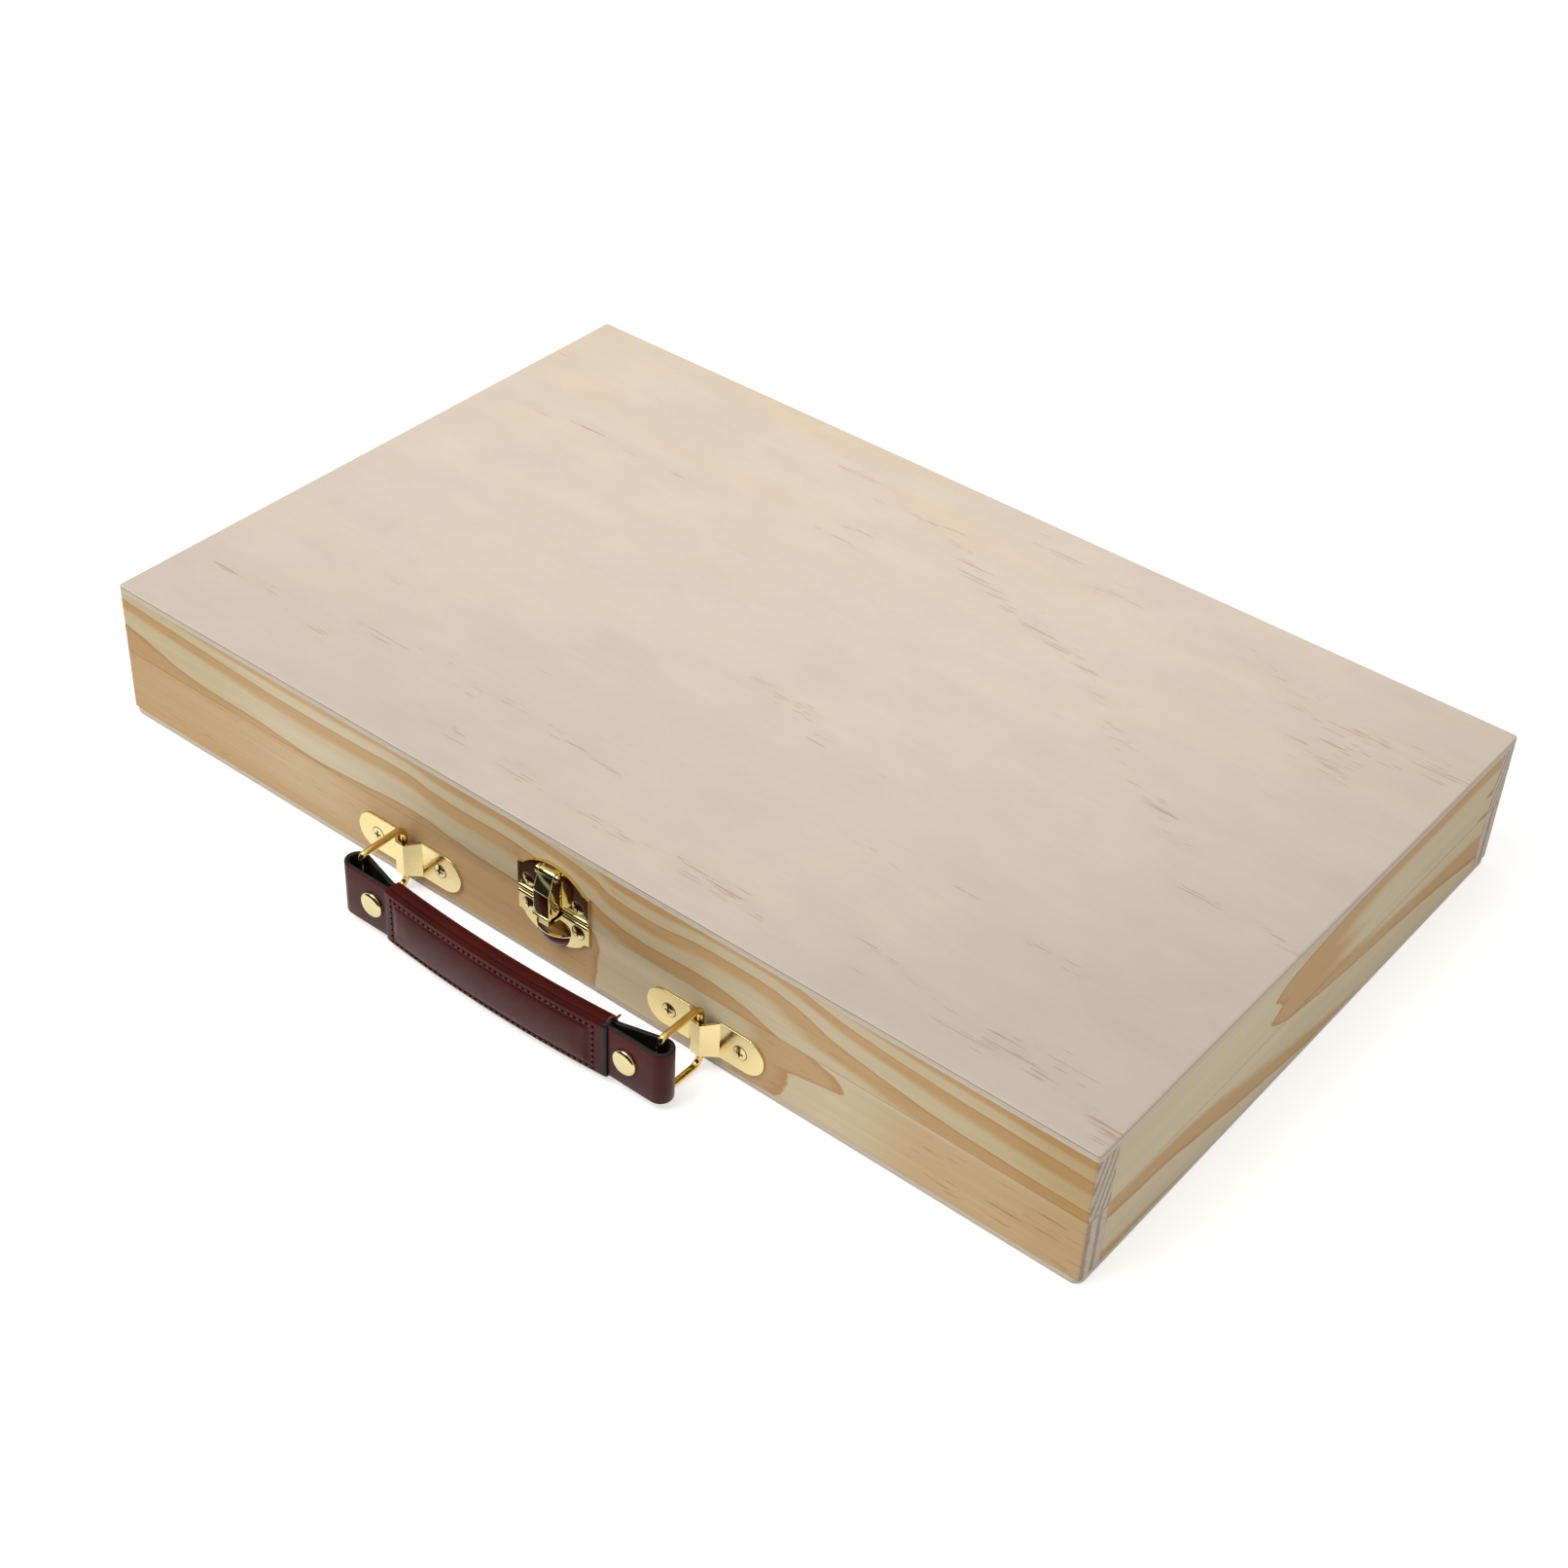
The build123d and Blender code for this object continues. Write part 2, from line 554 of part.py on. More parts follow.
def latch_hasp():
    """A folded channel that hangs from its pin and reaches down over the catch."""
    face_y = FRONT - CLASP_SHEET - HASP_FACE
    back_y = FRONT - CLASP_SHEET - HASP_CLEARANCE
    knee, tip = SPLIT + HASP_KNEE, SPLIT - HASP_TIP
    pin = (HASP_PIN_Y, HASP_PIN_HEIGHT)
    touch = tangent_point((face_y, knee), pin, HASP_BARREL_RADIUS, 1)
    lean = math.atan2(touch[0] - face_y, touch[1] - knee)
    outside = Polygon(
        (face_y, tip),
        (face_y, knee),
        touch,
        pin,
        (back_y, HASP_PIN_HEIGHT),
        (back_y, tip + HASP_BARREL_RADIUS),
        (back_y - HASP_BARREL_RADIUS, tip),
        align=None,
    )
    inner_y = face_y + HASP_SHEET
    inner_knee = (inner_y, knee - HASP_SHEET * math.tan(lean / 2))
    inner_touch = (touch[0] + HASP_SHEET * math.cos(lean), touch[1] - HASP_SHEET * math.sin(lean))
    inside = Polygon(
        (inner_y, tip - HASP_SHEET),
        inner_knee,
        inner_touch,
        pin,
        (FRONT, HASP_PIN_HEIGHT),
        (FRONT, tip - HASP_SHEET),
        align=None,
    )
    half = HASP_WIDTH / 2
    inner_width = HASP_WIDTH - 2 * HASP_SHEET
    body = plate(Plane.YZ.offset(CLASP_X - half), outside, HASP_WIDTH)
    body -= plate(Plane.YZ.offset(CLASP_X - inner_width / 2), inside, inner_width)
    body += rod_x(HASP_BARREL_RADIUS, CLASP_X - half, CLASP_X + half, *pin)
    body += block((CLASP_X - half, CLASP_X + half), (face_y - HASP_LIP, inner_y), (tip, tip + HASP_LIP_HEIGHT))
    return body - rod_x(HASP_PIN_RADIUS + PIN_FIT, CLASP_X - half, CLASP_X + half, *pin)


def latch_pin():
    reach = HASP_WIDTH / 2 + HASP_CLEARANCE + EAR_THICKNESS + HASP_CLEARANCE
    return rod_x(HASP_PIN_RADIUS, CLASP_X - reach, CLASP_X + reach, HASP_PIN_Y, HASP_PIN_HEIGHT)


# Hinges

def knuckle_spans(x, first):
    """The stretches of the barrel that belong to one leaf, taking every second knuckle."""
    pitch = HINGE_WIDTH / KNUCKLE_COUNT
    left = x - HINGE_WIDTH / 2
    return [(left + number * pitch, left + (number + 1) * pitch) for number in range(first, KNUCKLE_COUNT, 2)]


def hinge_leaf(x, up):
    """A leaf on the rear face: up is 1 on the lid and -1 on the base."""
    first = 1 if up > 0 else 0
    y = (REAR, REAR + HINGE_SHEET)
    edge = SPLIT + up * (KNUCKLE_RADIUS + KNUCKLE_GAP)
    body = block((x - HINGE_WIDTH / 2, x + HINGE_WIDTH / 2), y, (edge, SPLIT + up * HINGE_LEAF_HEIGHT))
    for left, right in knuckle_spans(x, first):
        left += KNUCKLE_GAP / 2 if left > x - HINGE_WIDTH / 2 else 0
        right -= KNUCKLE_GAP / 2 if right < x + HINGE_WIDTH / 2 - KNUCKLE_GAP else 0
        body += block((left, right), y, (edge, SPLIT))
        body += rod_x(KNUCKLE_RADIUS, left, right, HINGE_AXIS_Y, SPLIT)
    body -= rod_x(HINGE_PIN_RADIUS + PIN_FIT, x - HINGE_WIDTH, x + HINGE_WIDTH, HINGE_AXIS_Y, SPLIT)
    spots = [spot for spot in hinge_screw_spots(up) if abs(-spot[0] - x) < HINGE_WIDTH / 2]
    return drilled(body, REAR_FACE, HINGE_SHEET, spots)


def hinge_pin(x):
    half = HINGE_WIDTH / 2 + PIN_FIT
    body = rod_x(HINGE_PIN_RADIUS, x - half, x + half, HINGE_AXIS_Y, SPLIT)
    head_radius = (HINGE_PIN_RADIUS + KNUCKLE_RADIUS) / 2
    for side in (-1, 1):
        ends = (x + side * half, x + side * (half + HINGE_PIN_HEAD))
        body += rod_x(head_radius, min(ends), max(ends), HINGE_AXIS_Y, SPLIT)
    return body


def build():
    """Every sub-part by name."""
    lid_top = CASE_HEIGHT - PANEL_THICKNESS
    parts = {
        "base_bottom_panel": panel(0, FOOT_CORNER_RADIUS, FOOT_EDGE_EASE, 0),
        "base_front_wall": base_front_wall(),
        "base_rear_wall": base_rear_wall(),
        "base_left_wall": end_board(-1, PANEL_THICKNESS, BASE_HEIGHT),
        "base_right_wall": end_board(1, PANEL_THICKNESS, BASE_HEIGHT),
        "lid_top_panel": panel(lid_top, CASE_CORNER_RADIUS, LID_EDGE_EASE, -1),
        "lid_front_wall": lid_front_wall(),
        "lid_rear_wall": lid_rear_wall(),
        "lid_left_wall": end_board(-1, LID_BOTTOM, lid_top),
        "lid_right_wall": end_board(1, LID_BOTTOM, lid_top),
        "handle_strap": handle_strap(),
        "handle_core": handle_core(),
        "handle_sleeve": handle_sleeve(),
        "latch_top_plate": latch_top_plate(),
        "latch_lower_plate": latch_lower_plate(),
        "latch_hasp": latch_hasp(),
        "latch_pin": latch_pin(),
    }
    parts.update(dividers())
    for name, side in (("left", -1), ("right", 1)):
        parts[f"bracket_{name}"] = bracket(side * RING_SPACING / 2)
        parts[f"ring_{name}"] = ring(side * RING_SPACING / 2)
        parts[f"handle_rivet_{name}"] = rivet(side)
        parts[f"hinge_{name}_base_leaf"] = hinge_leaf(side * HINGE_SPACING / 2, -1)
        parts[f"hinge_{name}_lid_leaf"] = hinge_leaf(side * HINGE_SPACING / 2, 1)
        parts[f"hinge_{name}_pin"] = hinge_pin(side * HINGE_SPACING / 2)
    screws = {
        "bracket_screws": (FRONT_FACE, BRACKET_SHEET, bracket_screw_spots()),
        "latch_top_screws": (FRONT_FACE, CLASP_SHEET, clasp_screw_spots(SPLIT + UPPER_SCREW_Z)),
        "latch_lower_screws": (FRONT_FACE, CLASP_SHEET, clasp_screw_spots(SPLIT - LOWER_SCREW_Z)),
        "hinge_base_screws": (REAR_FACE, HINGE_SHEET, hinge_screw_spots(-1)),
        "hinge_lid_screws": (REAR_FACE, HINGE_SHEET, hinge_screw_spots(1)),
    }
    for name, (face, sheet, spots) in screws.items():
        parts[name] = Compound(children=placed(face, screw(sheet), spots))
    return parts


if __name__ == "__main__":
    os.makedirs("parts", exist_ok=True)
    for node, shape in build().items():
        export_step(shape, f"parts/{node}.step")
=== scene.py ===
"""Looks of the wooden art supply box: its boards, brass fittings and leather handle."""
import math

import bmesh
import bpy
from mathutils import Matrix, Vector


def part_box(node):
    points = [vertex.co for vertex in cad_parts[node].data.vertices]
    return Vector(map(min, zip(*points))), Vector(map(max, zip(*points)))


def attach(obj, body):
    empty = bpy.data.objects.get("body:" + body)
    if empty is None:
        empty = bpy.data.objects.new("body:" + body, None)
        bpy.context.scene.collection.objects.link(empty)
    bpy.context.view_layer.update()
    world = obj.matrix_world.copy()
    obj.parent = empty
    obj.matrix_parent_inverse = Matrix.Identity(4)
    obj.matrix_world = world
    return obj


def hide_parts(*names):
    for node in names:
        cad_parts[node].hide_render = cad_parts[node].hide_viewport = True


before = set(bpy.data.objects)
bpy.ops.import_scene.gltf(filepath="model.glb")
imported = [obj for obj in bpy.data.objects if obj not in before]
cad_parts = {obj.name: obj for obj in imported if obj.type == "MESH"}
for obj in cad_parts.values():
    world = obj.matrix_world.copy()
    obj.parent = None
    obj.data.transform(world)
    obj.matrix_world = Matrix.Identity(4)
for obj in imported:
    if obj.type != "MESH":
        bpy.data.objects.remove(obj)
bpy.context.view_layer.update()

MM = 0.001
TO_FRONT = (math.pi / 2, 0.0, 0.0)
TO_SIDE = (0.0, math.pi / 2, 0.0)

# Box and fittings, in millimetres
BOX_END = 185.0
FRONT_Y = -115.0
BRACKET_SHEET = 0.9
LATCH_SHEET = 0.8
HINGE_SHEET = 1.0
LATCH_X = 0.9
CUP_TOP = 17.3
CUP_ROUND = 8.3
CUP_MIDDLE_Y = -110.9

# Each plywood panel's cut edge, from its inner face to its outer one, in millimetres
LID_PLY = (47.2, 50.0)
BASE_PLY = (2.8, 0.0)

# Growth rings to a metre: into the depth of a board, and on the sawn ends
RINGS_INWARD = 85.0
LID_END_RINGS = 330.0
LID_END_SLANT = -0.38
BASE_END_RINGS = 205.0

# Handle, seen from above, in millimetres and degrees
HANDLE_Z = 12.1
STRAP_WIDTH = 18.6
LEATHER = 1.5
STRAP_FRONT = -139.615
STRAP_BACK = -135.515
STRAP_JOIN = 44.0
STRAP_ROUND = 0.4
LOOP_X = 58.91
LOOP_Y = -135.615
LOOP_TURN = 195.2
LOOP_END_X = 57.86
LOOP_END_Y = -131.755
HANDLE_BOW = 2.0
BOW_STEPS = 11
LOOP_STEPS = 5
LOOP_FACES = 22

# Sleeve, about its own middle, in millimetres
SLEEVE_LENGTH = 86.0
SLEEVE_DEPTH = 6.0
SLEEVE_HEIGHT = 20.5
SLEEVE_ROUND = 1.3
SLEEVE_WALL = 0.9
SLEEVE_SLICES = 43
SLEEVE_MIDDLE_Y = -139.565
PANEL_INSET = 0.5
CROWN_INSET = 0.8
PANEL_LOW = -7.7
PANEL_HIGH = 6.7
PANEL_LEFT = -39.0
PANEL_RIGHT = 37.0
PANEL_CUTS = (PANEL_LOW - 0.6, PANEL_LOW, -4.5, -1.0, 3.0, PANEL_HIGH, PANEL_HIGH + 0.6)
PANEL_RISE = 0.3
PANEL_CROWN = 0.26
CROWN_MARGINS = (3.0, 5.5)
SEAM_GROOVES = (-1.55, 1.75)
SEAM_DEPTHS = (0.75, 0.4)
SEAM_CUTS = (-0.5, -0.15, 0.15, 0.5)
END_BAND = 1.3

# Stitching, in millimetres
STITCH_PITCH = 2.05
STITCH_SIZE = (1.3, 0.85, 0.7)
STITCH_LEAN = 8
STITCH_SINK = 0.12
HOLE_SIZE = (1.1, 0.56, 1.0)
STITCH_TOP = 7.5
STITCH_FOOT = -8.35
STITCH_LEFT = -40.0
STITCH_RIGHT = 38.3

# The loose thread end: its root from the sleeve's corner, then steps and each one's swelling
THREAD_RADIUS = 0.32
THREAD_ROOT = (-1.2, 1.0, -0.35)
THREAD_CURL = (
    (0.05, 0.6, 0.35, 1.3), (0.15, 0.6, 0.45, 1.15), (0.25, 0.6, 0.1, 1.0), (0.3, 0.5, -0.4, 0.9),
    (0.35, 0.45, -0.25, 0.95), (0.35, 0.4, 0.4, 1.05), (0.3, 0.3, 0.5, 0.8), (0.2, 0.15, 0.3, 0.6),
)

# Rivet rings from the rear cap to the front one: radius, then depth from the rear or the front
RIVET_RINGS = (
    (3.3, None, None), (3.55, 0.1, None), (3.6, 0.25, None), (3.6, 0.4, None), (1.4, 0.4, None),
    (1.4, None, 1.4), (4.2, None, 1.4), (4.2, None, 1.05), (4.1, None, 0.75), (3.85, None, 0.5),
    (3.4, None, 0.3), (2.6, None, 0.14), (1.6, None, 0.04), (0.7, None, 0.0),
)

# Hasp, in millimetres
HASP_LIP = 0.4
HASP_KNEE = 9.0
HASP_SHEET = 0.7
HASP_ROUND = 0.28
BARREL_RADIUS = 1.6
BEAD_RADIUS = 0.5
SHOULDER_LEAN = 1.98
SHOULDER_RISE = 0.5

# Studio, in metres and degrees
FLOOR_SIZE = 12.0
TABLE_GLOW = 0.55
FILL_STRENGTH = 0.57
LAMP_PLACE = (-0.35, -0.65, 1.15)
LAMP_TARGET = (0.0, 0.0, 0.03)
LAMP_SIZE = 0.8
LAMP_WATTS = 8.2
LAMP_TINT = (1.0, 0.99, 0.975)
CAMERA_PLACE = (0.3892, -0.5292, 0.5279)
CAMERA_TURN = 36.73
CAMERA_DOWN = 38.79
CAMERA_ROLL = 3.30
LENS_MM = 60.35

# The dark card, in millimetres: its place from the box's middle, and its size
CARD_RIGHT = 200.0
CARD_LIFT = 1.0
CARD_START = 200.0
CARD_LENGTH = 4000.0
CARD_DEPTH = 600.0
CARD_HEIGHT = 1200.0


def in_metres(parts):
    return tuple(part * MM for part in parts)


# Shader helpers

def colour(red, green, blue):
    """A screen colour, 0 to 255, as the linear colour that a shader wants."""
    parts = [part / 255 for part in (red, green, blue)]
    parts = [part / 12.92 if part <= 0.04045 else ((part + 0.055) / 1.055) ** 2.4 for part in parts]
    return (*parts, 1.0)


def give(tree, socket, value):
    """Puts a value, a screen colour or another node's output on a socket."""
    if isinstance(value, bpy.types.NodeSocket):
        tree.links.new(value, socket)
    elif socket.type == "RGBA" and len(value) == 3:
        socket.default_value = colour(*value)
    else:
        socket.default_value = value


def add(tree, kind, inputs=None, **settings):
    """One shader node, with its settings and its sockets' values."""
    made = tree.nodes.new("ShaderNode" + kind)
    for name, value in settings.items():
        setattr(made, name, value)
    for socket, value in (inputs or {}).items():
        give(tree, made.inputs[socket], value)
    return made


def calc(tree, operation, *values):
    """The result of one sum."""
    return add(tree, "Math", dict(enumerate(values)), operation=operation).outputs[0]


def times(tree, first, second):
    return calc(tree, "MULTIPLY", first, second)


def less(tree, first, second):
    return calc(tree, "SUBTRACT", first, second)


def most(tree, first, second):
    return calc(tree, "MAXIMUM", first, second)


def scaled(tree, value, factor, plus):
    return calc(tree, "MULTIPLY_ADD", value, factor, plus)


def ramp(tree, value, low, high, start=0.0, end=1.0, smooth=True):
    """A value carried from one range to another and held at its ends."""
    kind = "SMOOTHSTEP" if smooth else "LINEAR"
    sockets = {"Value": value, "From Min": low, "From Max": high, "To Min": start, "To Max": end}
    return add(tree, "MapRange", sockets, interpolation_type=kind).outputs["Result"]


def profile(tree, value, points):
    """A smooth curve through points: lengths in millimetres and the values there."""
    lengths, heights = zip(*points)
    low, high = min(heights), max(heights)
    along = ramp(tree, value, lengths[0] * MM, lengths[-1] * MM, smooth=False)
    curve = add(tree, "FloatCurve", {"Value": along})
    line = curve.mapping.curves[0]
    run = lengths[-1] - lengths[0]
    spots = [((x - lengths[0]) / run, (y - low) / (high - low)) for x, y in points]
    for spot in spots[1:-1]:
        line.points.new(*spot)
    line.points[0].location = spots[0]
    line.points[-1].location = spots[-1]
    curve.mapping.update()
    return ramp(tree, curve.outputs["Value"], 0.0, 1.0, low, high, smooth=False)


def blend(tree, share, first, second, kind="MIX"):
    """Two colours mixed by a share, or the second multiplied over the first."""
    sockets = {0: share, 6: first, 7: second}
    return add(tree, "Mix", sockets, data_type="RGBA", blend_type=kind).outputs[2]


def shade(tree, tint, amount):
    """A colour made darker or lighter by a number."""
    grey = add(tree, "CombineColor", {0: amount, 1: amount, 2: amount}).outputs[0]
    return blend(tree, 1.0, tint, grey, "MULTIPLY")


def between(tree, share, first, second):
    """Two numbers mixed by a share."""
    return add(tree, "Mix", {0: share, 2: first, 3: second}).outputs[0]


def point(tree, x, y, z):
    return add(tree, "CombineXYZ", {0: x, 1: y, 2: z}).outputs[0]


def parts_of(tree, vector):
    """The parts of a vector, by order or by name."""
    return add(tree, "SeparateXYZ", {"Vector": vector}).outputs


def noise(tree, position, scale, detail=2.0, roughness=0.5, offset=(0, 0, 0), turn=(0, 0, 0)):
    """Noise at one scale, or at one along each axis, turned and moved."""
    if isinstance(scale, tuple):
        sockets = {"Vector": position, "Scale": scale, "Rotation": turn, "Location": offset}
        position = add(tree, "Mapping", sockets).outputs["Vector"]
        scale = 1.0
    sockets = {"Vector": position, "Scale": scale, "Detail": detail, "Roughness": roughness}
    return add(tree, "TexNoise", sockets).outputs["Fac"]


def facing(tree, axis, low=0.5, high=0.7):
    """How squarely a surface faces along an axis, either way."""
    normal = add(tree, "TexCoord").outputs["Normal"]
    return ramp(tree, calc(tree, "ABSOLUTE", parts_of(tree, normal)[axis]), low, high)


def seen_directly(tree):
    """What the camera or a shine sees, and not the light that reaches the box."""
    rays = add(tree, "LightPath").outputs
    mirrored = most(tree, rays["Is Glossy Ray"], rays["Is Transmission Ray"])
    return most(tree, rays["Is Camera Ray"], mirrored)


def new_group(name, inputs, outputs):
    """An empty node group and its end nodes; places are vectors, all else is a number."""
    group = bpy.data.node_groups.new(name, "ShaderNodeTree")
    for way, labels in (("INPUT", inputs), ("OUTPUT", outputs)):
        for label in labels:
            kind = "NodeSocketVector" if label in ("Position", "From", "To") else "NodeSocketFloat"
            group.interface.new_socket(name=label, in_out=way, socket_type=kind)
    ends = [group.nodes.new(f"NodeGroup{way}") for way in ("Input", "Output")]
    return group, ends[0].outputs, ends[1]


def finish_group(group, end, results):
    for label, socket in results.items():
        group.links.new(socket, end.inputs[label])
    return group


def use(tree, group, inputs):
    return add(tree, "Group", inputs, node_tree=group).outputs


# Shared effects

def growth_rings():
    """Splits a running ring count into late wood, ending crisply, and the dark line at its end."""
    group, given, end = new_group("Growth rings", ("Ring", "Late share"), ("Late wood", "Line"))
    within = calc(group, "FRACT", given["Ring"])
    start = less(group, 1.0, given["Late share"])
    rise = calc(group, "DIVIDE", less(group, within, start), given["Late share"])
    late = ramp(group, rise, 0.0, 0.45)
    crisp = ramp(group, within, 0.985, 1.0, 1.0, 0.0)
    line = ramp(group, within, 0.91, 0.985)
    results = {"Late wood": times(group, late, crisp), "Line": times(group, line, crisp)}
    return finish_group(group, end, results)


def fine_grain():
    """Fine streaks along the first axis, short dark pores in them, and soft mottling."""
    outputs = ("Streaks", "Pores", "Mottling")
    group, given, end = new_group("Fine grain", ("Position", "Pores"), outputs)
    position = given["Position"]
    streaks = noise(group, position, (14.0, 620.0, 620.0), 4.0, 0.6)
    dashes = noise(group, position, (95.0, 1500.0, 1500.0), 1.0)
    lowest = ramp(group, given["Pores"], 0.0, 1.0, 0.86, 0.58, smooth=False)
    pores = ramp(group, less(group, dashes, lowest), 0.0, 0.09)
    mottling = noise(group, position, (11.0, 30.0, 30.0), 3.0)
    return finish_group(group, end, {"Streaks": streaks, "Pores": pores, "Mottling": mottling})


def streak_line():
    """A soft patch about the line between two points."""
    group, given, end = new_group("Streak line", ("Position", "From", "To", "Width"), ("Mask",))

    def vector(operation, first, second, output="Vector"):
        made = add(group, "VectorMath", {0: first, 1: second}, operation=operation)
        return made.outputs[output]

    run = vector("SUBTRACT", given["To"], given["From"])
    away = vector("SUBTRACT", given["Position"], given["From"])
    reach = vector("DOT_PRODUCT", away, run, "Value")
    share = calc(group, "DIVIDE", reach, vector("DOT_PRODUCT", run, run, "Value"))
    held = ramp(group, share, 0.0, 1.0, smooth=False)
    nearest = add(group, "VectorMath", {0: run, "Scale": held}, operation="SCALE")
    distance = vector("DISTANCE", away, nearest.outputs["Vector"], "Value")
    near = calc(group, "DIVIDE", distance, given["Width"])
    return finish_group(group, end, {"Mask": ramp(group, near, 0.0, 1.0, 1.0, 0.0)})


def surface_wear():
    """Small dark specks and a soft wear mask."""
    group, given, end = new_group("Wear", ("Position", "Scale"), ("Wear", "Specks"))
    broad = noise(group, given["Position"], given["Scale"], 4.0, 0.6)
    fine = noise(group, given["Position"], times(group, given["Scale"], 9.0))
    results = {"Wear": ramp(group, broad, 0.35, 0.7), "Specks": ramp(group, fine, 0.66, 0.74)}
    return finish_group(group, end, results)


GROWTH_RINGS = growth_rings()
FINE_GRAIN = fine_grain()
STREAK_LINE = streak_line()
WEAR = surface_wear()


# Materials

def new_material(name):
    """A new material with one Principled shader, its tree and its Object coordinates."""
    material = bpy.data.materials.new(name)
    material.use_nodes = True
    tree = material.node_tree
    return material, tree, add(tree, "TexCoord").outputs["Object"]


def set_shader(material, tint, rough, shine=0.5, normal=None, others=None):
    """Fills the Principled shader; shine is its specular level, others are more sockets."""
    tree = material.node_tree
    shader = next(node for node in tree.nodes if node.type == "BSDF_PRINCIPLED")
    values = {"Base Color": tint, "Roughness": rough, "Specular IOR Level": shine, **(others or {})}
    if normal is not None:
        values["Normal"] = normal
    for name, value in values.items():
        give(tree, shader.inputs[name], value)
    return material


def bump(tree, height, depth, strength):
    """A relief, its depth in millimetres."""
    sockets = {"Height": height, "Distance": depth * MM, "Strength": strength}
    return add(tree, "Bump", sockets).outputs["Normal"]


# Pine

HONEY = (230, 214, 184)
# Painted light: how much the front's foot behind the handle is brightened, to lift the handle's
# shade
PAINTED_FILL_LIGHT = (1.22, 1.19, 1.16, 1.0)


def front_ring_count(tree, along, height):
    """The front board's rings: a curve up it, and one along it at its foot and its top."""
    notch = ramp(tree, height, 0.0190, 0.0140, 0.0, 0.021)
    notch = times(tree, notch, ramp(tree, along, 0.060, 0.080))
    kerf = ramp(tree, height, 0.0249, 0.0252, 0.0, 0.14)
    low = profile(tree, calc(tree, "ADD", along, notch), (
        (-185, -0.78), (-172, -0.73), (-160, -0.60), (-147, -0.51), (-122, -0.45), (-110, -0.36),
        (-97, -0.33), (-79, -0.40), (-66, -0.51), (-54, -0.54), (-41, -0.42), (-22, -0.32),
        (-8, -0.30), (8, -0.20), (20, 0.05), (36, 0.29), (50, 0.25), (70, 0.41), (80, 0.67),
        (92, 0.83), (104, 0.95), (125, 1.21), (150, 1.39), (185, 1.45),
    ))
    high = profile(tree, along, (
        (-185, -1.15), (-166, -0.99), (-147, -0.84), (-122, -0.70), (-97, -0.63), (-79, -0.66),
        (-60, -0.74), (-47, -0.54), (-35, -0.48), (-22, -0.50), (-12, -0.43), (0, -0.28),
        (16, 0.06), (25, 0.44), (37, 0.48), (56, 0.28), (75, 0.28), (87, 0.48), (96, 0.75),
        (106, 1.02), (125, 1.25), (150, 1.40), (185, 1.52),
    ))
    sideways = between(tree, ramp(tree, height, 0.028, 0.039), low, high)
    upward = profile(tree, height, (
        (0, 0.06), (6, 0.02), (12, 0.0), (18, 0.0), (24, 0.09), (30, 0.50), (36, 0.95), (42, 1.57),
        (50, 2.82),
    ))
    swirl = use(tree, STREAK_LINE, {
        "Position": point(tree, along, 0.0, height), "Width": 0.0016,
        "From": (0.0225, 0.0, 0.0428), "To": (0.0290, 0.0, 0.0418),
    })["Mask"]
    upward = scaled(tree, swirl, 0.3, calc(tree, "ADD", upward, kerf))
    return most(tree, calc(tree, "ADD", upward, sideways), -0.16)


def rear_ring_count(tree, along, height):
    """The rear board's rings run nearly straight."""
    upward = profile(tree, height, (
        (0, 0.0), (12, 0.9), (20, 1.5), (30, 2.6), (38, 3.1), (50, 4.4),
    ))
    sideways = profile(tree, along, (
        (-185, 0.3), (-90, 0.1), (-20, 0.45), (60, 0.2), (120, 0.6), (185, 0.5),
    ))
    return calc(tree, "ADD", upward, sideways)


def right_ring_count(tree, along, height):
    """The right board's rings: an arched figure with a forked tip, about a line in its lid."""
    middle = scaled(tree, along, -0.04, 0.034)
    away = calc(tree, "ABSOLUTE", less(tree, height, middle))
    core = profile(tree, along, (
        (-115, 0.17), (-40, 0.14), (-33, 0.08), (-27, 0.0), (-15, -0.20), (0, -0.34), (25, -0.62),
        (60, -0.84), (115, -1.05),
    ))
    outer = profile(tree, along, (
        (-115, 0.18), (-105, 0.15), (-68, 0.07), (-37, -0.15), (-6, -0.37), (15, -0.56),
        (26, -0.64), (57, -0.76), (104, -0.94), (115, -1.0),
    ))
    outward = profile(tree, away, (
        (0, 0.10), (2, 0.05), (4, 0.0), (7, 0.08), (10, 0.25), (16, 0.72), (24, 1.01), (36, 1.85),
    ))
    return calc(tree, "ADD", outward, between(tree, ramp(tree, away, 0.008, 0.015), core, outer))


def left_ring_count(tree, along, height):
    """The left board's rings slope down to the front."""
    sideways = profile(tree, along, ((-115, 0.5), (-60, 0.35), (0, 0.0), (50, -0.2), (115, -0.75)))
    upward = profile(tree, height, ((0, 0.0), (10, 0.7), (22, 1.2), (35, 2.1), (50, 2.9)))
    return calc(tree, "ADD", upward, sideways)


def in_base(tree, z):
    """The base's part of a wall, ending softly where the lid begins."""
    return ramp(tree, z, 0.0225, 0.0250, 1.0, 0.0)


def front_plain_area(tree, x, z):
    """The right end of the base's front, where the rings widen into tan."""
    return times(tree, times(tree, ramp(tree, x, 0.103, 0.135), in_base(tree, z)), 0.62)


def front_tan_kept(tree, x, z):
    """The share of tan that late wood keeps: less at the left of the base's front."""
    lost = profile(tree, x, (
        (-185, 0.12), (-150, 0.24), (-125, 0.34), (-100, 0.46), (-85, 0.3), (-72, 0.0),
    ))
    middle = times(tree, in_base(tree, z), ramp(tree, z, 0.0040, 0.0110))
    return less(tree, 1.0, times(tree, lost, middle))


def front_painted_fill_light(tree, x, z):
    """Painted light on the front's foot behind the handle, brightening away the shade that the
    handle casts there.
    """
    low = ramp(tree, z, 0.019, 0.025, 1.0, 0.0)
    return times(tree, low, ramp(tree, calc(tree, "ABSOLUTE", x), 0.034, 0.060, 1.0, 0.0))


